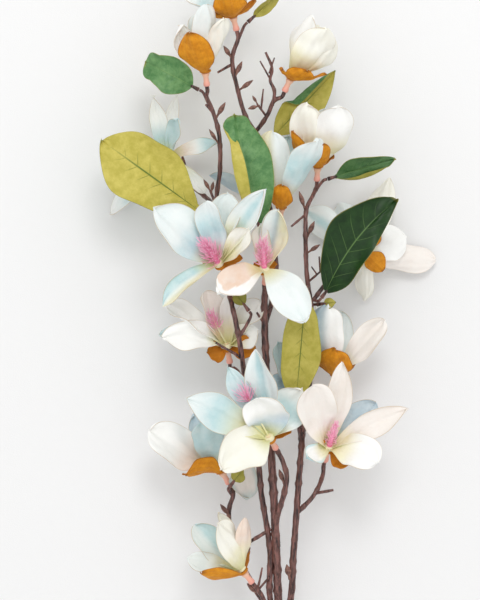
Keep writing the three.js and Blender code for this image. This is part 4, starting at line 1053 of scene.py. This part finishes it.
def spline(points):
    """Points along a centripetal Catmull-Rom curve."""
    ends = [points[0] * 2 - points[1], *points, points[-1] * 2 - points[-2]]
    sampled = [points[0]]
    for p0, p1, p2, p3 in zip(ends, ends[1:], ends[2:], ends[3:]):
        d0 = sqrt((p1 - p0).length)
        d1 = sqrt((p2 - p1).length)
        d2 = sqrt((p3 - p2).length)
        leave = ((p1 - p0) / d0 - (p2 - p0) / (d0 + d1) + (p2 - p1) / d1) * d1
        arrive = ((p2 - p1) / d1 - (p3 - p1) / (d1 + d2) + (p3 - p2) / d2) * d1
        steps = max(2, round((p2 - p1).length / TWIG_SAMPLE))
        for i in range(1, steps + 1):
            t = i / steps
            sampled.append(p1 * (2 * t ** 3 - 3 * t * t + 1) + leave * (t ** 3 - 2 * t * t + t)
                + p2 * (3 * t * t - 2 * t ** 3) + arrive * (t ** 3 - t * t))
    return sampled


# %% A knotted twig
KNOT_SPACING = 17
KNOT_LENGTH = 2.2
BARK_ROUGH = 0.17
TWIG_SIDES = 12


def grow_twig(bm, points, start_radius, end_radius, seed):
    """A tube with knots through the points, closed at both ends."""
    draw = random.Random(seed)
    walked = [0]
    for a, b in zip(points, points[1:]):
        walked.append(walked[-1] + (b - a).length)
    knots = []
    next_knot = draw.uniform(0.3, 1) * KNOT_SPACING
    while next_knot < walked[-1] - KNOT_LENGTH:
        knots.append((next_knot, draw.uniform(0.06, 0.3)))
        next_knot += draw.uniform(0.5, 1.5) * KNOT_SPACING
    radii = []
    marks = []
    for along in walked:
        share = along / walked[-1]
        swell = sum(size * exp(-((along - at) / KNOT_LENGTH) ** 2) for at, size in knots)
        radii.append((start_radius + (end_radius - start_radius) * share) * (1 + swell))
        marks.append(min(1, 2.5 * swell))
    wrap_tube(bm, [points[0], *points, points[-1]], [0, *radii, 0], TWIG_SIDES,
        [marks[0], *marks, marks[-1]], rough=BARK_ROUGH)


# %% Making the stem, the twigs and the buds
MOUTH_GAP = 1.5 * GAP
STALK_RADII = (1.4, 1.3)
STUB_ARCH = 0.06
BUD_ARCH = 0.08
BUD_OUTLINE = [(0, 0), (0.02, 0.5), (0.2, 0.42), (0.3, 0.5), (0.42, 0.85), (0.56, 1), (0.7, 0.86),
    (0.85, 0.5), (0.96, 0.18), (1, 0)]

bm = new_bmesh()
for seed, (route, start_radius, end_radius, bloom_number) in enumerate(TWIGS):
    points = [Vector(point) for point in route]
    if bloom_number:
        bloom = BLOOMS[bloom_number - 1]
        axis = Vector(bloom["axis"]).normalized()
        mouth = Vector(bloom["base"]) - axis * (COLLAR_LENGTH + MOUTH_GAP)
        points += [mouth - axis * 5, mouth]
    grow_twig(bm, spline(points), start_radius, end_radius, seed)
for seed, row in enumerate(LEAVES, start=100):
    stalk, base, tip = [Vector(point) for point in row[:3]]
    way = leaf_way(base, tip, row[4])
    mouth = base - way * 1.5 * GAP
    grow_twig(bm, spline([stalk, mouth - way * 3, mouth]), *STALK_RADII, seed)
for seed, (start, end, start_radius, end_radius) in enumerate(STUBS, start=200):
    start, end = Vector(start), Vector(end)
    arch = (start + end) / 2 + UP * ((end - start).length * STUB_ARCH)
    grow_twig(bm, spline([start, arch, end]), start_radius, end_radius, seed)
for foot, tip, radius in BUDS:
    foot, tip = Vector(foot), Vector(tip)
    arch = UP * ((tip - foot).length * BUD_ARCH)
    points = [foot.lerp(tip, share) + arch * sin(pi * share) for share, _ in BUD_OUTLINE]
    wrap_tube(bm, points, [radius * size for _, size in BUD_OUTLINE], TWIG_SIDES,
        material_index=1)
finish_piece("stem_and_twigs", bm, [bark_paint, bud_paint], "branch_wood", "wood")

# %% [markdown]
# ## Floor and light
# The spray lies on a plain off-white sheet with a fine tooth. One large soft light comes
# from beyond the top of the picture, as in the photograph, where shadows fall towards its
# foot. The pale world fills them so that they stay soft grey. It is brighter overhead than
# at the horizon, as under a wide diffuser, which rounds the stems.

# %% Floor
FLOOR_SIZE = 4

paper, shader, add, spot, _ = new_material("matt off-white wall paper")
tooth = add("TexNoise", {"Vector": spot, "Scale": 900, "Detail": 3})
toothed = add("Bump", {"Height": tooth, "Strength": 0.25, "Distance": 0.0005})
fill(shader, {"Base Color": "#F0F0F0", "Normal": toothed, "Roughness": 0.9})

floor_mesh = bpy.data.meshes.new("floor")
bm = bmesh.new()
bmesh.ops.create_grid(bm, x_segments=1, y_segments=1, size=FLOOR_SIZE / 2)
bm.to_mesh(floor_mesh)
bm.free()
floor_mesh.materials.append(paper)
floor = add_object("floor", floor_mesh)
print("floor", FLOOR_SIZE, "m wide")

# %% Lights
KEY_PLACE = Vector((0.15, 1.15, 2.0))
KEY_SIZE = 0.8
KEY_POWER = 11
SKY_LOW = 0.62
SKY_HIGH = 1.08

key_data = bpy.data.lights.new("soft_key", "AREA")
key_data.shape = "DISK"
key_data.size = KEY_SIZE
key_data.energy = KEY_POWER
key = add_object("soft_key", key_data)
key.location = KEY_PLACE
key.rotation_euler = (PICTURE_CENTRE - KEY_PLACE).to_track_quat("-Z", "Y").to_euler()

sky = bpy.data.worlds.new("soft_sky")
sky.use_nodes = True
add = partial(add_node, sky.node_tree)
height = add("SeparateXYZ", [add("TexCoord", take="Object")], take="Z")
glow = add("MapRange", [height, 0, 1, SKY_LOW, SKY_HIGH])
fill(sky.node_tree.nodes["Background"], {"Color": "#FFFFFF", "Strength": glow})
bpy.context.scene.world = sky
bpy.context.scene.view_settings.view_transform = "Standard"
print("lit by", key.name, "and", sky.name)
